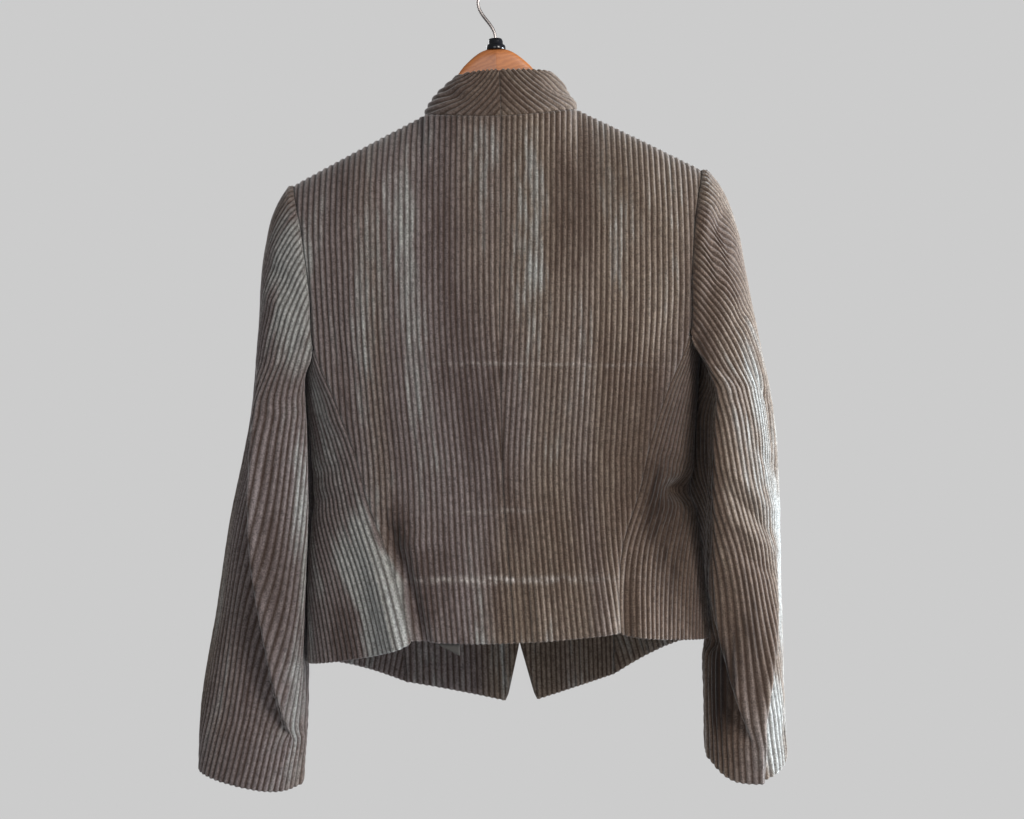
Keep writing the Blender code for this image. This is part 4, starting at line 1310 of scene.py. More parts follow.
class SideRing:
    """The side of the jacket at one row, from the back seam round to the front seam."""

    def __init__(self, form: JacketForm, side: Side, row: float, side_hem: float) -> None:
        """Work out the section.

        Args:
            form: The body that it belongs to.
            side: Which side of the body.
            row: Place of the row from the hem up.
            side_hem: Height of the hem at the middle of the side.
        """
        self.form = form
        self.side = side
        self.turn = np.linspace(0.0, math.pi, SECTION_STEPS)
        behind = self.turn < QUARTER
        back_hem = form.hem_height(Face.BACK, np.array(form.back_hem_half))
        front_hem = form.hem_height(Face.FRONT, np.array(form.front_hem_half))
        back_rise = 1.0 - np.sin(self.turn) ** form.side_hem_back
        front_rise = np.abs(np.cos(self.turn)) ** form.side_hem_front
        rise = np.where(behind, back_rise, front_rise)
        hem = side_hem + (np.where(behind, back_hem, front_hem) - side_hem) * rise
        self.height = form.row_height(row, hem, np.full(hem.shape, form.armpit_height))
        self.half = BODY.at("side", self.height)
        self.reach, self.depth = side_section(self.turn, self.height)
        self.length = run_length(self.reach, self.depth)

    def at(self, d: Array) -> tuple[Array, Array]:
        """Points and outward directions at a length from the back seam."""
        turn = np.interp(d, self.length, self.turn)
        reach = np.interp(turn, self.turn, self.reach)
        depth = np.interp(turn, self.turn, self.depth)
        height = np.interp(turn, self.turn, self.height)
        half = np.interp(turn, self.turn, self.half)
        centre = np.where(depth < 0, BODY.at("back", height), BODY.at("front", height))
        out = unit(points(self.side * reach / half ** 2, depth / centre ** 2, 0.0 * d))
        swing = SEAM_SWING.at("shift", height) * np.clip(np.cos(turn), 0.0, 1.0) ** 2
        place = points(BODY.at("middle", height) + swing + self.side * reach, depth, height)
        round_back = BODY.at("back_seam", height) + d
        lift = self.form.hem_fold(self.side, height, d)
        lift = lift + crease_height(BACK_CREASES[self.side], round_back, height)
        return place + out * lift[..., None], out


@dataclass
class Body:
    """The jacket's backs, sides, fronts, hem facings and hem tab."""

    form: JacketForm
    dresser: Dresser
    left_side_hem: float = -665.0
    right_side_hem: float = -655.0
    facing_cloth: float = 1.4
    facing_gap: float = 1.4
    facing_margin: float = 2.0
    facing_top: float = 0.16
    facing_length: float = 110.0
    tab_edges: tuple[float, float] = (54.0, 76.0)
    tab_bottom: float = -656.0
    tab_top: float = -622.0
    tab_slant: float = 0.5
    tab_cloth: float = 1.0
    tab_gap: float = 1.2
    tab_pitch: float = 2.0
    lower_length: float = 290.0
    upper_length: float = 180.0
    shoulder_start: float = 0.9
    shoulder_rows: int = 16

    def lower_rows(self) -> list[float]:
        """Rows from the hem to the armpit."""
        return even_rows((0.0, ARMPIT_ROW), (self.lower_length,))

    def upper_rows(self) -> list[float]:
        """Rows from above the armpit to the top seam, close together where the shoulder rounds over."""
        rows = even_rows((ARMPIT_ROW, self.shoulder_start), (self.upper_length,))[1:]
        span = 1.0 - self.shoulder_start
        steps = range(1, self.shoulder_rows + 1)
        return rows + [1.0 - span * (1.0 - k / self.shoulder_rows) ** 2 for k in steps]

    def panel(self, side: Side, face: Face) -> ClothPiece:
        """One half of the back, or one front."""
        form = self.form

        def span(row: float) -> tuple[float, float]:
            """Edges of the panel."""
            low = CLOTH.seam_gap / 2 if face is Face.BACK else form.front_opening(row)
            return low, form.panel_edge(face, row) - CLOTH.seam_gap / 2

        def lean(row: float) -> float:
            """Shift of the wales."""
            if face is Face.FRONT:
                return 0.0
            return -float(CENTRE_BACK.at("taken", form.panel_height(face, np.array(0.0), row)))

        back = face is Face.BACK
        rows = self.lower_rows() + self.upper_rows()
        return ClothPiece(
            f"cloth_{face.word}_{side.word}",
            lambda d, row: form.place(side, face, d, form.panel_height(face, d, row)), span, rows, lean,
            sides=(Edge.SEAM if back else Edge.HEM, Edge.SEAM), nap=BACK_NAP_AND_LIGHT if back else FRONT_NAP,
        )

    def side_panel(self, side: Side) -> ClothPiece:
        """The panel under the arm, its wales parallel to the back seam."""
        hem = self.left_side_hem if side is Side.LEFT else self.right_side_hem
        rows = self.lower_rows()
        rings = {row: SideRing(self.form, side, row, hem) for row in rows}

        def span(row: float) -> tuple[float, float]:
            """Edges of the panel."""
            return CLOTH.seam_gap / 2, rings[row].length[-1] - CLOTH.seam_gap / 2

        return ClothPiece(
            f"cloth_side_{side.word}", lambda d, row: rings[row].at(d), span, rows,
            inside_ribs_to=self.facing_top, nap=BACK_NAP_AND_LIGHT,
        )

    def facing(self, side: Side) -> ClothPiece:
        """The corduroy facing inside the pointed hem of a front."""
        form = self.form
        inset = CLOTH.thickness + CLOTH.rib_sink + self.facing_gap + self.facing_cloth

        def place(d: Array, row: float) -> tuple[Array, Array]:
            """Points of the facing, which looks inwards."""
            base, out = form.place(side, Face.FRONT, d, form.panel_height(Face.FRONT, d, row))
            return base - out * inset, -out

        def span(row: float) -> tuple[float, float]:
            """Edges of the facing."""
            low, high = form.front_opening(row), form.panel_edge(Face.FRONT, row)
            return low + self.facing_margin, high - self.facing_margin

        rows = even_rows((0.0, self.facing_top), (self.facing_length,))
        return ClothPiece(
            f"cloth_facing_{side.word}", place, span, rows, ends=HEMMED, sides=HEMMED,
            thickness=self.facing_cloth,
        )

    def tab(self) -> ClothPiece:
        """The small plain tab that hangs inside the left of the back hem."""
        form = self.form
        inset = CLOTH.thickness + CLOTH.rib_sink + self.tab_cloth + self.tab_gap
        level = np.array((1.0, 1.0, 0.0))

        def place(d: Array, row: float) -> tuple[Array, Array]:
            """Points of the tab, whose lower edge slants."""
            bottom = self.tab_bottom + self.tab_slant * (d - self.tab_edges[0])
            height = bottom + (self.tab_top - bottom) * row
            base, out = form.place(Side.LEFT, Face.BACK, d, np.full(d.shape, self.tab_top))
            lowest = np.maximum(height, form.back_hem_height)
            flare = form.place(Side.LEFT, Face.BACK, d, lowest)[0] - base
            base = base + flare * level
            base[:, 2] = height
            out = unit(out * level)
            return base - out * inset, -out

        rows = even_rows((0.0, 1.0), (self.tab_top - self.tab_bottom,))
        return ClothPiece(
            "cloth_hem_tab", place, lambda row: self.tab_edges, rows, ends=HEMMED, sides=HEMMED,
            thickness=self.tab_cloth, pitch=self.tab_pitch, ribbed=False,
        )

    def build(self) -> None:
        """Hang every piece of the body."""
        for side in Side:
            word = side.word
            for face in Face:
                self.dresser.hang(self.panel(side, face), f"{face.word}_{word}", ["hanger_wood"])
            self.dresser.hang(self.side_panel(side), f"side_{word}", self.dresser.panels(side))
            self.dresser.hang(self.facing(side), f"facing_{word}", [f"cloth_front_{word}"])
        self.dresser.hang(self.tab(), "hem_tab", ["cloth_back_left"])


@dataclass(frozen=True)
class SleeveFold:
    """A long fold down one face of a sleeve, where one layer of the cloth laps over the next."""

    face: Face
    lines: Table
    width: float = 3.0
    roll: float = 0.2
    roll_width: float = 6.0
    lap: float = 0.5
    lap_reach: float = 16.0
    turn_share: float = 0.35

    def shift(self, reach: Array, height: float, turn: Array) -> tuple[Array, Array]:
        """Find how a fold moves the sleeve.

        Args:
            reach: Distances out from the middle of the jacket.
            height: Height of the section.
            turn: Angles round the section.

        Returns:
            How far the cloth is lifted outwards and slid sideways, so that the upper layer laps over.
        """
        step = self.lines.at("step", height)
        way = 1.0 if step >= 0 else -1.0
        upper = way * (self.lines.at("line", height) - reach)
        size = abs(step) * ease(np.clip(-self.face * np.sin(turn), 0.0, 1.0) / self.turn_share)
        rise = np.tanh(upper / self.width)
        lift = size * (0.5 * rise + self.roll * bell(upper - self.roll_width, self.roll_width))
        slide = size * self.lap * rise * bell(upper, self.lap_reach)
        return lift, way * slide


@dataclass(frozen=True)
class SleeveShape:
    """Sizes, twist, folds and creases of one sleeve."""

    sections: Table
    cuff_height: float
    cuff_inner_lift: float
    cuff_outer_lift: float
    cuff_front_lift: float
    drift: Table
    tuck: Table
    folds: tuple[SleeveFold, ...]
    creases: tuple[Crease, ...]
    front_creases: tuple[Crease, ...]
    sags: tuple[Crease, ...] = ()


def sleeve_fold(face: Face, *rows: Sequence[float]) -> SleeveFold:
    """A fold from rows of height, distance out of its line, and step."""
    return SleeveFold(face, Table("height line step", *rows))


SLEEVE_SHAPES = {
    Side.LEFT: SleeveShape(
        sections=Table(
            "height inner outer depth middle slope shear square corner",
            (-188, 203, 210, 20, 0, 0, 0, 0, 0), (-200, 203, 218, 30, 0, 0, 0, 0, 0),
            (-212, 203, 225, 40, 0, 0, 0, 0, 0), (-252, 203, 237, 56, 0, 0, 0, 0, 0),
            (-332, 204, 246, 60, 0, 0, 0, 0, 0), (-372, 205, 251, 57, 0, 0, 0, 0.5, 6),
            (-412, 206, 257, 59, 2, 0, 0, 1, 11), (-462, 207, 268, 60, 5, 0.03, 0, 1, 13),
            (-512, 208, 281, 59, 8, 0.05, 0, 1, 13), (-612, 212, 301, 52, 14, 0.08, 0, 0.8, 8),
            (-712, 216, 321, 40, 16, 0.11, 0, 0.3, 0), (-785, 222, 326, 30, 14, 0.24, 0, 0, 0),
        ),
        cuff_height=-787.0,
        cuff_inner_lift=9.0,
        cuff_outer_lift=0.0,
        cuff_front_lift=10.0,
        drift=Table(
            "height drift",
            (-800, 0.28), (-740, 0.26), (-700, 0.2), (-600, 0.19), (-520, 0.17), (-440, 0.17),
            (-400, 0.2), (-360, 0.26), (-320, 0.36), (-280, 0.48), (-240, 0.62), (-200, 0.8),
        ),
        tuck=Table(
            "height tuck",
            (-640, 0), (-580, 9), (-545, 14), (-505, 18), (-460, 16), (-412, 12), (-385, 4), (-365, 0),
        ),
        folds=(
            sleeve_fold(
                Face.BACK,
                (-738, 229, 0), (-727, 231, 10), (-700, 236, 18), (-640, 244.5, 22), (-600, 249, 24),
                (-560, 252.5, 24), (-500, 253, 22), (-440, 249.5, 18), (-400, 248, 12), (-365, 247, 0),
            ),
            sleeve_fold(Face.FRONT, (-720, 250, 0), (-640, 258, -7), (-540, 250, -6), (-440, 240, 0)),
        ),
        creases=crease_rows(
            (208, -300, 232, -266, 7, -2), (206, -328, 236, -298, 7, 2), (207, -348, 226, -374, 6, -2.5),
            (208, -362, 230, -394, 7, 2), (232, -724, 263, -700, 5, -2.4), (232, -731, 267, -722, 5, -2),
            (238, -739, 269, -745, 5, 1.8), (214, -560, 236, -600, 9, -1.6),
        ),
        front_creases=crease_rows(
            (216, -480, 262, -500, 8, -3), (218, -505, 264, -520, 7, 2), (212, -300, 236, -340, 9, -2),
        ),
    ),
    Side.RIGHT: SleeveShape(
        sections=Table(
            "height inner outer depth middle slope shear square corner",
            (-188, 197, 205, 20, 0, 0, 0, 0, 0), (-200, 197, 214, 30, 0, 0, 0, 0, 0),
            (-212, 198, 221, 40, 0, 0, 0, 0, 0), (-252, 198, 234, 56, 0, 0, 0, 0, 0),
            (-292, 198, 240, 58, 0, 0, 3, 0, 0), (-332, 200, 246, 60, 0, 0, 8, 0.4, 0),
            (-372, 206, 252.5, 57, 1, 0, 14, 0.8, 7), (-412, 209, 260, 59, 2, 0, 20, 1, 11),
            (-462, 205, 266, 60, 6, 0, 22, 1, 13), (-512, 201, 268, 60, 10, 0, 22, 1, 12),
            (-612, 194.5, 268, 52, 20, -0.03, 14, 0.5, 3), (-644, 194, 268, 48, 22, -0.04, 11, 0.3, 2),
            (-676, 187, 267.5, 44.5, 24, -0.05, 8.5, 0.15, 1),
            (-712, 186.5, 267, 40, 26, -0.06, 6, 0, 0), (-795, 185, 267, 32, 24, -0.08, 4, 0, 0),
        ),
        cuff_height=-802.0,
        cuff_inner_lift=14.0,
        cuff_outer_lift=10.0,
        cuff_front_lift=25.0,
        drift=Table(
            "height drift",
            (-802, 0.02), (-740, 0.05), (-640, 0.09), (-600, 0.13), (-560, 0.22), (-520, 0.2),
            (-480, 0.09), (-440, 0.12), (-400, 0.25), (-360, 0.45), (-330, 0.6), (-300, 0.75),
            (-260, 0.85), (-200, 0.95),
        ),
        tuck=Table(
            "height tuck",
            (-672, 0), (-640, 10), (-612, 16), (-580, 20), (-545, 25), (-500, 33), (-460, 32),
            (-412, 29), (-390, 18), (-362, 0),
        ),
        folds=(
            sleeve_fold(
                Face.BACK,
                (-766, 226, 0), (-745, 221, -9), (-700, 210, -15), (-654, 200, -16), (-601, 191, -12),
                (-540, 185, 0),
            ),
            sleeve_fold(
                Face.BACK,
                (-800, 239, 10), (-765, 241, 14), (-740, 242, 15), (-706, 247, 15), (-667, 254, 13),
                (-630, 259, 8), (-570, 262, 0),
            ),
            sleeve_fold(Face.FRONT, (-740, 225, 0), (-660, 232, 7), (-560, 236, 6), (-470, 238, 0)),
        ),
        creases=crease_rows(
            (206, -484, 262, -532, 7, 3.5), (210, -512, 258, -552, 6, -3.5), (200, -530, 256, -572, 7, 3),
            (212, -566, 252, -592, 6, -3), (236, -462, 262, -494, 6, -2.5), (206, -262, 222, -228, 6, -3),
            (196, -250, 210, -216, 6, 2.5), (212, -296, 230, -262, 7, 2.5), (198, -322, 220, -282, 6, -2.5),
            (222, -352, 240, -318, 7, -2),
        ),
        front_creases=crease_rows(
            (206, -500, 250, -512, 7, -3), (208, -522, 252, -536, 7, 2.2), (206, -300, 238, -338, 9, -2),
        ),
        sags=crease_rows(
            (211, -238, 222, -290, 5, -7), (198, -254, 209, -304, 5, -5), (226, -300, 236, -340, 6, -4),
            (236, -498, 258, -560, 9, -5), (214, -520, 226, -580, 9, 5),
        ),
    ),
}


@dataclass(frozen=True)
class SleeveFit:
    """How both sleeves go over from the armhole to the arm, and stay clear of the body."""

    clearance: float = 1.7
    body_clearance: float = 4.4
    clear_to: float = -662.0
    clear_start: float = 8.0
    clear_fade: float = 40.0
    clear_drop: float = 30.0
    under_morph: float = 66.0
    outer_morph: float = 220.0
    front_start: float = math.radians(80.0)
    back_start: float = math.radians(12.0)
    under_width: float = math.radians(48.0)
    fullness: float = 0.3
    full_start: float = -230.0
    tuck_turn: float = math.radians(-138.0)
    tuck_width: float = 0.42
    corner_turn: float = math.radians(132.0)
    corner_width: float = 0.5
    square_power: float = 0.45
    cap_round: float = 60.0
    cap_top: float = -188.8
    cuff_reach: float = 80.0
    armpit_ease: float = 1.5
    face_turn: float = 50.0
    face_turn_below: float = 30.0
    face_share: float = 0.4


FIT = SleeveFit()


class SleeveRing:
    """One section of a sleeve: an arch over the armhole above the armpit, a full round below it."""

    def __init__(self, form: JacketForm, side: Side, height: float) -> None:
        """Work out the section.

        Args:
            form: The body that the sleeve is sewn to.
            side: Which sleeve.
            height: Height of the section.
        """
        self.side = side
        self.height = height
        self.shape = SLEEVE_SHAPES[side]
        limit = QUARTER if height > form.armpit_height + FIT.armpit_ease else math.pi
        self.turn = np.linspace(-limit, limit, SLEEVE_STEPS)
        words = "inner", "outer", "slope"
        self.inner, self.outer, self.slope = (self.shape.sections.at(word, height) for word in words)
        self.middle = (self.inner + self.outer) / 2
        reach_sewn, depth_sewn = self._sewn(form)
        reach_round, depth_round = self._hanging()
        start = np.where(self.turn > 0, FIT.back_start, FIT.front_start)
        under = ease((np.abs(self.turn) - start) / FIT.under_width)
        morph = FIT.outer_morph + (FIT.under_morph - FIT.outer_morph) * under
        change = ease((form.armpit_height - height) / morph)
        from_tuck = np.abs((self.turn - FIT.tuck_turn + math.pi) % (2.0 * math.pi) - math.pi)
        tuck = self.shape.tuck.at("tuck", height) * bell(from_tuck, FIT.tuck_width)
        self.reach = reach_sewn + (reach_round - reach_sewn) * change - tuck
        self.depth = depth_sewn + (depth_round - depth_sewn) * change
        if height < form.armpit_height:
            drop = FIT.clear_drop * ease((FIT.clear_to - height) / FIT.clear_fade)
            near = FIT.body_clearance * ease((form.armpit_height - height) / FIT.clear_start)
            self.reach = np.maximum(self.reach, self.body_reach() + near - drop)
        length = run_length(self.reach, self.depth)
        self.length = length - np.interp(0.0, self.turn, length)
        below = float(np.interp(0.0, self.turn, change))
        middle_turn = math.radians(FIT.face_turn + FIT.face_turn_below * below)
        self.face_middle = float(np.interp(middle_turn, self.turn, self.reach))

    def _sewn(self, form: JacketForm) -> tuple[Array, Array]:
        """How far out and forward the section lies where it is sewn to the armhole."""
        height = np.array(max(self.height, form.armpit_height))
        seam = BODY.at("back_seam", height)
        edge = seam + self.side * BODY.at("middle", height) + CLOTH.seam_gap
        back, front = (face * form.place(self.side, face, seam, height)[0][1] for face in Face)
        armpit = np.array(form.armpit_height)
        bulge = BODY.at("side", armpit) + self.side * BODY.at("middle", armpit) - edge
        past = np.clip(np.abs(self.turn) - QUARTER, 0.0, QUARTER)
        reach_under = edge + bulge * np.sin(past) ** 2 + FIT.clearance * np.sin(past)
        over = np.abs(self.turn) <= QUARTER
        filled = ease((FIT.full_start - self.height) / (FIT.full_start - form.armpit_height))
        fuller = np.where(over, 1.0 - FIT.fullness * filled, 1.0)
        reach_over = edge + (self.outer - edge) * np.clip(np.cos(self.turn), 0.0, 1.0) ** fuller
        depth = -np.sign(self.turn) * np.abs(np.sin(self.turn)) ** fuller
        return np.where(over, reach_over, reach_under), depth * np.where(self.turn > 0, back, front)

    def _hanging(self) -> tuple[Array, Array]:
        """How far out and forward the section lies where it hangs free."""
        corner, square, middle, depth, shear = (
            self.shape.sections.at(word, self.height)
            for word in ("corner", "square", "middle", "depth", "shear")
        )
        power = np.where(self.turn > QUARTER, 1.0 - FIT.square_power * square, 1.0)
        waves = np.cos(self.turn), np.sin(self.turn)
        along, across = (np.sign(wave) * np.abs(wave) ** power for wave in waves)
        cut_off = corner * bell(self.turn - FIT.corner_turn, FIT.corner_width)
        reach = self.middle + (self.outer - self.inner) / 2 * along - cut_off
        return reach, middle - depth * across + shear * along

    def body_reach(self) -> Array:
        """How far out the side of the body lies at the depths of this section."""
        height = np.array(max(self.height, FIT.clear_to))
        reach, depth = side_section(np.linspace(0.0, math.pi, BODY_STEPS), height)
        return np.interp(self.depth, depth, reach) + self.side * BODY.at("middle", height)

    def back_length(self, reach: float) -> float:
        """Length from the outer line to a distance out, round the back of the sleeve."""
        behind = self.turn >= 0.0
        shrinking = np.minimum.accumulate(self.reach[behind])
        return float(np.interp(reach, shrinking[::-1], self.length[behind][::-1]))

    def at(self, d: Array) -> tuple[Array, Array]:
        """Points and outward directions at a length from the outer line, backwards being positive."""
        shape = self.shape
        turn = np.interp(d, self.length, self.turn)
        reach = np.interp(turn, self.turn, self.reach)
        depth = np.interp(turn, self.turn, self.depth)
        cap = (1.0 - np.clip((FIT.cap_top - self.height) / FIT.cap_round, 0.0, 1.0)) ** 2
        level = 1.0 - cap
        out = unit(points(self.side * np.cos(turn) * level, -np.sin(turn) * level, cap + 0.0 * d))
        along = np.cos(turn)
        corner = np.where(along > 0, shape.cuff_outer_lift, shape.cuff_inner_lift)
        near_cuff = ease((shape.cuff_height + FIT.cuff_reach - self.height) / FIT.cuff_reach)
        lift = corner * np.abs(along) ** 3 + shape.cuff_front_lift * (1.0 - np.sin(turn)) / 2
        height = self.height + self.slope * (reach - self.middle) + lift * near_cuff
        moves = [fold.shift(reach, self.height, turn) for fold in shape.folds]
        depth = depth + sum(fold.face * move[0] for fold, move in zip(shape.folds, moves))
        behind, ahead = (ease(np.clip(face * -np.sin(turn), 0.0, 1.0) / FIT.face_share) for face in Face)
        lift = crease_height(shape.creases, reach, height) * behind
        lift = lift + crease_height(shape.front_creases, reach, height) * ahead
        height = height + crease_height(shape.sags, reach, height) * behind
        place = points(self.side * (reach + sum(move[1] for move in moves)), depth, height)
        return place + out * lift[..., None], out


@dataclass
class Sleeves:
    """The two one-piece set-in sleeves."""

    form: JacketForm
    dresser: Dresser
    seam_lip: float = 1.6
    cap_rows: int = 14
    cap_start: float = -230.0
    cap_crowding: float = 1.6

    def heights(self, side: Side) -> list[float]:
        """Heights of the rows from the cuff to the cap, close together where the cap rounds over."""
        cuff = SLEEVE_SHAPES[side].cuff_height
        under = self.form.armpit_height + FIT.armpit_ease
        rows = even_rows((cuff, under, self.cap_start), (under - cuff, self.cap_start - under))
        span = FIT.cap_top - self.cap_start
        left = (1.0 - k / self.cap_rows for k in range(1, self.cap_rows + 1))
        return rows + [FIT.cap_top - span * share ** self.cap_crowding for share in left]

    def sleeve(self, side: Side) -> ClothPiece:
        """One sleeve, open along its underarm seam by the seam gap."""
        rows = self.heights(side)
        rings = {row: SleeveRing(self.form, side, row) for row in rows}

        def span(row: float) -> tuple[float, float]:
            """Edges of the sleeve."""
            return rings[row].length[0] + CLOTH.seam_gap / 2, rings[row].length[-1] - CLOTH.seam_gap / 2

        drifts = {row: float(SLEEVE_SHAPES[side].drift.at("drift", np.array(row))) for row in rows}
        # Slanting wales lie farther apart on the level, and drift outwards down the back of the sleeve.
        stretch = {row: math.hypot(1.0, drift) for row, drift in drifts.items()}
        leans = {rows[0]: 0.0}
        for low, high in zip(rows, rows[1:]):
            start = rings[low].face_middle
            end = start - (drifts[low] + drifts[high]) / 2 * (high - low)
            wale = (rings[low].back_length(start) - leans[low]) / stretch[low]
            leans[high] = rings[high].back_length(end) - wale * stretch[high]
        return ClothPiece(
            f"cloth_sleeve_{side.word}", lambda d, row: rings[row].at(d), span, rows, leans.get, stretch.get,
            lip=self.seam_lip, nap=BACK_NAP_AND_LIGHT,
        )

    def build(self) -> None:
        """Hang both sleeves."""
        for side in Side:
            self.dresser.hang(self.sleeve(side), f"sleeve_{side.word}", self.dresser.panels(side))


class CollarHalf:
    """Half of the stand collar, from the centre back to the centre front."""

    def __init__(self, form: JacketForm, side: Side, collar: "Collar") -> None:
        """Measure the neck seam of one side of the form, for a collar with the given sizes."""
        self.form = form
        self.side = side
        self.collar = collar
        self.turn = np.linspace(0.0, math.pi, COLLAR_STEPS)
        steps = np.linalg.norm(np.diff(self.rail(self.turn, 0.0), axis=0), axis=1)
        self.length = running(steps)

    def rail(self, turn: Array, up: float) -> Array:
        """Line round the collar at a share of its height."""
        form, collar = self.form, self.collar
        across, along = np.sin(turn), np.cos(turn)
        behind = along > 0
        seam = form.neck_half * across
        base_height = np.where(behind, *(form.top_edge(face, seam)[1] for face in Face))
        base_depth = np.where(behind, form.neck_back, form.neck_front)
        top_depth = np.where(behind, collar.top_back, collar.top_front)
        rise = collar.rise_side + (collar.rise_back - collar.rise_side) * along ** 2
        half = form.neck_half + (collar.top_half[self.side] - form.neck_half) * up
        half = half + collar.swell * math.sin(math.pi * up) * across ** 2
        depth = base_depth + (top_depth - base_depth) * up
        shift = np.where(behind, *(form.sway(face, seam, base_height) for face in Face))
        height = base_height + CLOTH.seam_gap * (1.0 + collar.side_ease * across ** 2) + rise * up
        return points(shift + self.side * half * across, -depth * along, height)

    def at(self, d: Array, up: float) -> tuple[Array, Array]:
        """Points and outward directions at a length from the centre back."""
        turn = np.interp(d, self.length, self.turn)
        across = np.sin(turn)
        ways = (self.form.neck_direction(self.side, face, across) for face in Face)
        out = np.where((np.cos(turn) > 0)[..., None], *ways)
        creases = self.collar.creases[self.side]
        lift = crease_height(creases, d, np.full(d.shape, up * self.collar.rise_back))
        return self.rail(turn, up) + out * lift[..., None], out

    def wale(self, d: Array, up: float) -> Array:
        """Distance across the wales, which look straight from behind and flatten low on the left."""
        collar = self.collar
        base = self.rail(self.turn, 0.0)
        steps = np.maximum(np.abs(np.diff(base[:, 0])), collar.least_step * np.diff(self.length))
        across = np.interp(d, self.length, running(steps))
        rise = collar.rise_back * up
        angle = collar.wale_angle
        flatten = collar.flatten[self.side] * np.maximum(across - collar.flatten_from, 0.0) ** 2
        return across * math.sin(angle) + rise * math.cos(angle) - flatten


@dataclass
class Collar:
    """The stand collar in two halves, its wales falling away from the centre back in a chevron."""

    form: JacketForm
    dresser: Dresser
    top_half: dict[Side, float] = field(default_factory=lambda: {Side.LEFT: 43.5, Side.RIGHT: 53.0})
    top_back: float = 28.0
    top_front: float = 40.0
    rise_back: float = 46.0
    rise_side: float = 37.0
    side_ease: float = 5.0
    swell: float = 5.0
    wale_angle: float = math.radians(47.0)
    least_step: float = 0.55
    flatten: dict[Side, float] = field(default_factory=lambda: {Side.LEFT: 0.0055, Side.RIGHT: 0.0})
    flatten_from: float = 28.0
    grid: float = 0.9
    creases: dict[Side, tuple[Crease, ...]] = field(
        default_factory=lambda: {
            Side.LEFT: crease_rows((74, 24, 40, 16, 5, -2.2), (70, 36, 44, 27, 6, 1.4)),
            Side.RIGHT: crease_rows((96, 20, 62, 26, 8, -5), (82, 42, 58, 40, 6, 1.2)),
        }
    )

    def half(self, side: Side) -> ClothPiece:
        """Half of the collar."""
        half = CollarHalf(self.form, side, self)

        def span(_row: float) -> tuple[float, float]:
            """Edges of the half."""
            return CLOTH.seam_gap / 2, half.length[-1] - CLOTH.seam_gap / 2

        rows = even_rows((0.0, 1.0), (self.rise_back,), self.grid)
        return ClothPiece(
            f"cloth_collar_{side.word}", half.at, span, rows, ends=SEWN_THEN_HEMMED, sides=SEWN_THEN_HEMMED,
            step=self.grid, wale_at=half.wale, nap=BACK_NAP_AND_LIGHT,
        )

    def build(self) -> None:
        """Hang both halves."""
        for side in Side:
            self.dresser.hang(self.half(side), f"collar_{side.word}", self.dresser.panels(side))


def loft(name: str, rings: Array, finish: Material) -> Object:
    """Make a closed smooth solid through rings of points.

    Args:
        name: Name of the object.
        rings: Rings of points in millimetres, all with the same number of points.
        finish: Its material.

    Returns:
        The new object.
    """
    rows, count = rings.shape[:2]
    ids = np.arange(rows * count).reshape(rows, count)
    following = np.roll(ids, -1, axis=1)
    quads = np.stack((ids[:-1], following[:-1], following[1:], ids[1:]), axis=-1).reshape(-1, 4)
    caps = [ids[0][::-1].tolist(), ids[-1].tolist()]
    mesh = closed_mesh(name, rings.reshape(-1, 3), quads.tolist() + caps)
    mesh.shade_smooth()
    mesh.set_sharp_from_angle(angle=SHARP_ANGLE)
    mesh.materials.append(finish)
    return add_object(name, mesh)


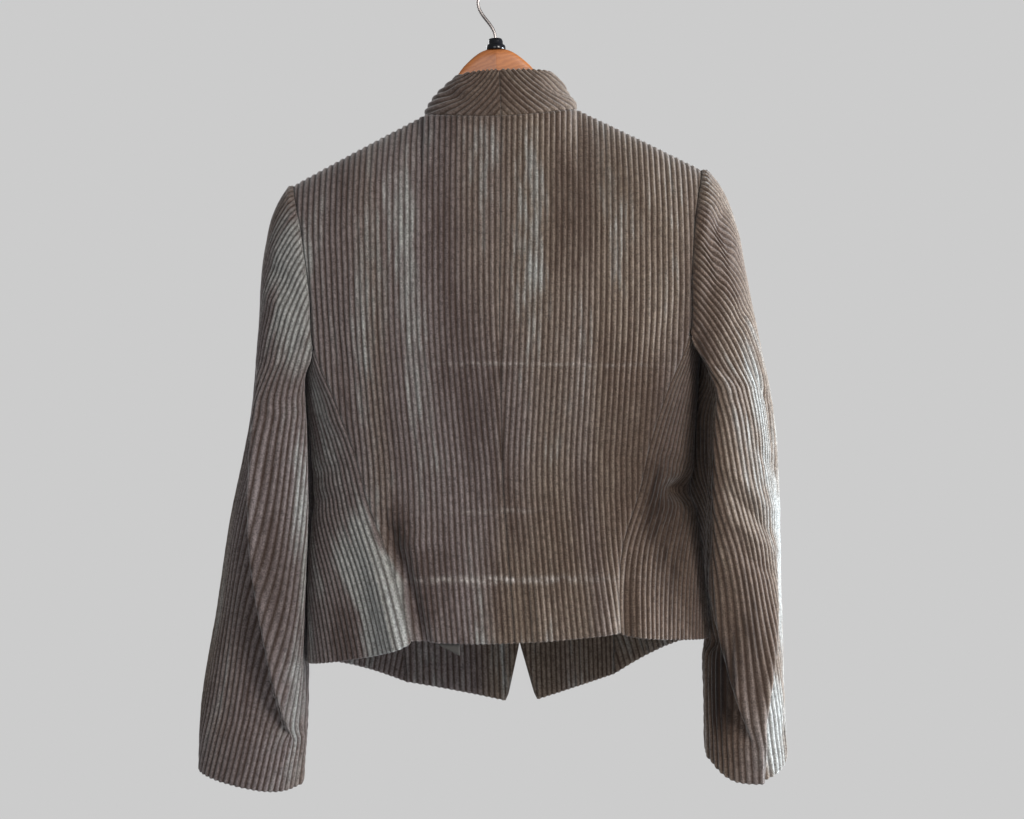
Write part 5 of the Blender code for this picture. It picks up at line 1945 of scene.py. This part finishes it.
@dataclass
class Hanger:
    """The wooden hanger with its ferrule and wire hook."""

    dresser: Dresser
    squareness: float = 0.34
    half_thickness: float = 7.0
    ridge: float = 4.6
    ridge_reach: float = 34.0
    middle_reach: float = 28.0
    middle_rings: int = 41
    arm_start: float = 30.0
    arm_rings: int = 60
    ferrule_radius: float = 10.0
    ferrule_bottom: float = -61.7
    ferrule_top: float = -50.0
    hook_wire: float = 3.3
    hook_radius: float = 16.0
    hook_pull: float = 12.0
    hook_leave: float = math.radians(205.0)
    hook_end: float = math.radians(14.0)
    hook_rounding: tuple[float, float] = (0.85, 0.45)
    ferrule_profile: tuple[tuple[float, float], ...] = (
        (0.9, 0.0), (0.2, 0.3), (0.0, 1.0), (0.2, 3.2), (0.8, 4.6), (2.2, 5.3), (2.5, 5.8), (2.6, 8.4),
        (3.0, 10.0), (3.8, 11.1), (5.0, 11.6), (6.2, 11.7),
    )
    outline: tuple[tuple[float, float, float], ...] = (
        (0, -62.0, -104), (11, -62.5, -106), (27, -72.5, -112), (37, -83.0, -118), (46, -98.5, -126),
        (62, -119.5, -142), (74, -135.0, -155), (90, -139.0, -161), (138, -160.9, -182), (188, -187.7, -204),
    )

    def wood(self, finish: Material) -> Object:
        """Loft the two arms, whose faces meet in a ridge at the middle."""
        table = Table("d top bottom", *self.outline)
        arm = np.linspace(self.arm_start, self.outline[-1][0], self.arm_rings)
        middle = np.linspace(-self.middle_reach, self.middle_reach, self.middle_rings)
        out = np.concatenate((-arm[::-1], middle, arm))
        turn = circle(48)
        rings = []
        for x in out:
            top, bottom = table.at("top", np.array(abs(x))), table.at("bottom", np.array(abs(x)))
            half = self.half_thickness + self.ridge * max(0.0, 1.0 - abs(x) / self.ridge_reach)
            tall = (top - bottom) / 2
            across = np.sign(np.cos(turn)) * np.abs(np.cos(turn)) ** self.squareness * half
            up = np.sign(np.sin(turn)) * np.abs(np.sin(turn)) ** self.squareness * tall
            rings.append(points(np.full(turn.shape, x), across, (top + bottom) / 2 + up))
        return loft("hanger_arms", np.stack(rings), finish)

    def ferrule(self, finish: Material) -> Object:
        """Turn the two-step ferrule that the hook comes out of."""
        turn = circle(64)
        rings = []
        for inset, up in self.ferrule_profile:
            radius = self.ferrule_radius - inset
            rings.append(points(radius * np.cos(turn), radius * np.sin(turn), self.ferrule_bottom + up))
        return loft("hanger_collar", np.stack(rings), finish)

    def hook_route(self) -> Array:
        """Middle of the hook's wire: up from the ferrule, out to the left, over the top and down."""
        centre = self.hook_wire / 2 - self.hook_radius
        leave = self.hook_leave
        start = np.array((0.0, self.ferrule_top + CLOTH.seam_gap))
        meet = np.array((self.hook_radius * math.cos(leave), centre + self.hook_radius * math.sin(leave)))
        pull = meet + self.hook_pull * np.array((-math.sin(leave), math.cos(leave)))
        t = np.linspace(0.0, 1.0, 25)[:-1, None]
        lower = (1 - t) ** 3 * start + 3 * t * (1 - t) ** 2 * (start + np.array((0.0, self.hook_pull)))
        lower = lower + 3 * t * t * (1 - t) * pull + t ** 3 * meet
        turn = np.linspace(leave, self.hook_end, 60)
        upper = np.stack((self.hook_radius * np.cos(turn), centre + self.hook_radius * np.sin(turn)), axis=-1)
        return np.concatenate((lower, upper))

    def hook(self, finish: Material) -> Object:
        """Bend the hook from round wire with rounded ends."""
        route = self.hook_route()
        way = unit(np.gradient(route, axis=0))
        turn = circle(20)
        size = np.full(len(route), self.hook_wire / 2)
        size[-2:] *= self.hook_rounding
        rings = []
        for (x, z), (along_x, along_z), radius in zip(route, way, size):
            side = radius * np.cos(turn)
            rings.append(points(x + side * along_z, radius * np.sin(turn), z - side * along_x))
        return loft("hanger_wire", np.stack(rings), finish)

    def build(self) -> None:
        """Make the three pieces."""
        self.dresser.enter(self.wood(VarnishedWood().material()), "hanger_wood", "hanger_wood")
        self.dresser.enter(self.ferrule(BlackPlastic().material()), "hanger_ferrule", "ferrule_black")
        self.dresser.enter(self.hook(DrawnSteel().material()), "hanger_hook", "hook_steel")


@dataclass(frozen=True)
class Lamp:
    """A soft square lamp that looks at a point."""

    name: str
    place: tuple[float, float, float]
    aim: tuple[float, float, float]
    size: float
    power: float
    colour: Colour = (1.0, 1.0, 1.0)

    def light(self) -> None:
        """Hang the lamp."""
        data = bpy.data.lights.new(self.name, "AREA")
        data.size = self.size
        data.energy = self.power
        data.color = self.colour
        lamp = add_object(self.name, data)
        lamp.location = self.place
        lamp.rotation_euler = (Vector(self.aim) - Vector(self.place)).to_track_quat("-Z", "Y").to_euler()


@dataclass
class Studio:
    """Camera, plain grey surround, pale floor and soft lamps."""

    camera_place: tuple[float, float, float] = (0.0025, -2.2, -0.4215)
    lens: float = 77.34
    sensor: float = 36.0
    roll: float = math.radians(-2.2)
    surround: Colour = (0.604, 0.604, 0.604)
    ambient: float = 0.2
    floor_height: float = -1.2
    floor_radius: float = 1.3
    floor_roughness: float = 0.9
    lamps: tuple[Lamp, ...] = (
        Lamp("window", (1.9, 0.05, -0.4), (0.0, 0.0, -0.5), 0.7, 85.0, (0.86, 0.96, 1.05)),
        Lamp("key", (1.4, -1.8, 0.4), (0.0, 0.0, -0.4), 0.7, 37.0, (1.0, 0.96, 0.91)),
        Lamp("fill", (-0.4, -2.4, 0.3), (0.0, 0.0, -0.4), 1.0, 10.0, (0.93, 0.97, 1.0)),
        Lamp("front", (-1.5, 1.7, 0.3), (0.0, 0.0, -0.4), 1.2, 26.0, (0.97, 0.98, 1.0)),
    )

    def camera(self) -> None:
        """Set up the camera, level with the middle of the jacket."""
        data = bpy.data.cameras.new("camera")
        data.sensor_width = self.sensor
        data.lens = self.lens
        camera = add_object("camera", data)
        turn = Matrix.Rotation(math.radians(90.0), 4, "X") @ Matrix.Rotation(self.roll, 4, "Z")
        camera.matrix_world = Matrix.Translation(self.camera_place) @ turn
        bpy.context.scene.camera = camera

    def surrounds(self) -> None:
        """Set up the grey world and the floor below the view."""
        world = bpy.data.worlds.new("studio")
        world.use_nodes = True
        tree = NodeTree(world.node_tree)
        seen = tree.add("ShaderNodeLightPath").outputs["Is Camera Ray"]
        dim = tuple(self.ambient for _ in range(3))
        tree.put(tree.mix(seen, dim, self.surround), world.node_tree.nodes["Background"].inputs["Color"])
        bpy.context.scene.world = world
        bpy.context.scene.view_settings.view_transform = "Standard"
        turn = circle(96)
        rim = points(self.floor_radius * np.cos(turn), self.floor_radius * np.sin(turn), self.floor_height)
        mesh = bpy.data.meshes.new("floor")
        mesh.from_pydata(rim.tolist(), [], [list(range(len(rim)))])
        finish, tree, shader = new_material("floor")
        tree.fill(shader, Base_Color=(*self.surround, 1.0), Roughness=self.floor_roughness)
        mesh.materials.append(finish)
        floor = add_object("floor", mesh)

    def build(self) -> None:
        """Set up the studio."""
        self.camera()
        self.surrounds()
        for lamp in self.lamps:
            lamp.light()


def main() -> None:
    """Load the frame, dress every piece and set up the studio."""
    logging.basicConfig(level=logging.INFO, format="%(message)s")
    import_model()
    form = JacketForm()
    dresser = Dresser(Corduroy().material(), PlainCotton().material(), WaleTree())
    garment = (part(form, dresser) for part in (Body, Sleeves, Collar))
    for assembly in (Hanger(dresser), *garment, Studio()):
        assembly.build()
        LOG.info("built %s", type(assembly).__name__)


if __name__ == "__main__":
    main()
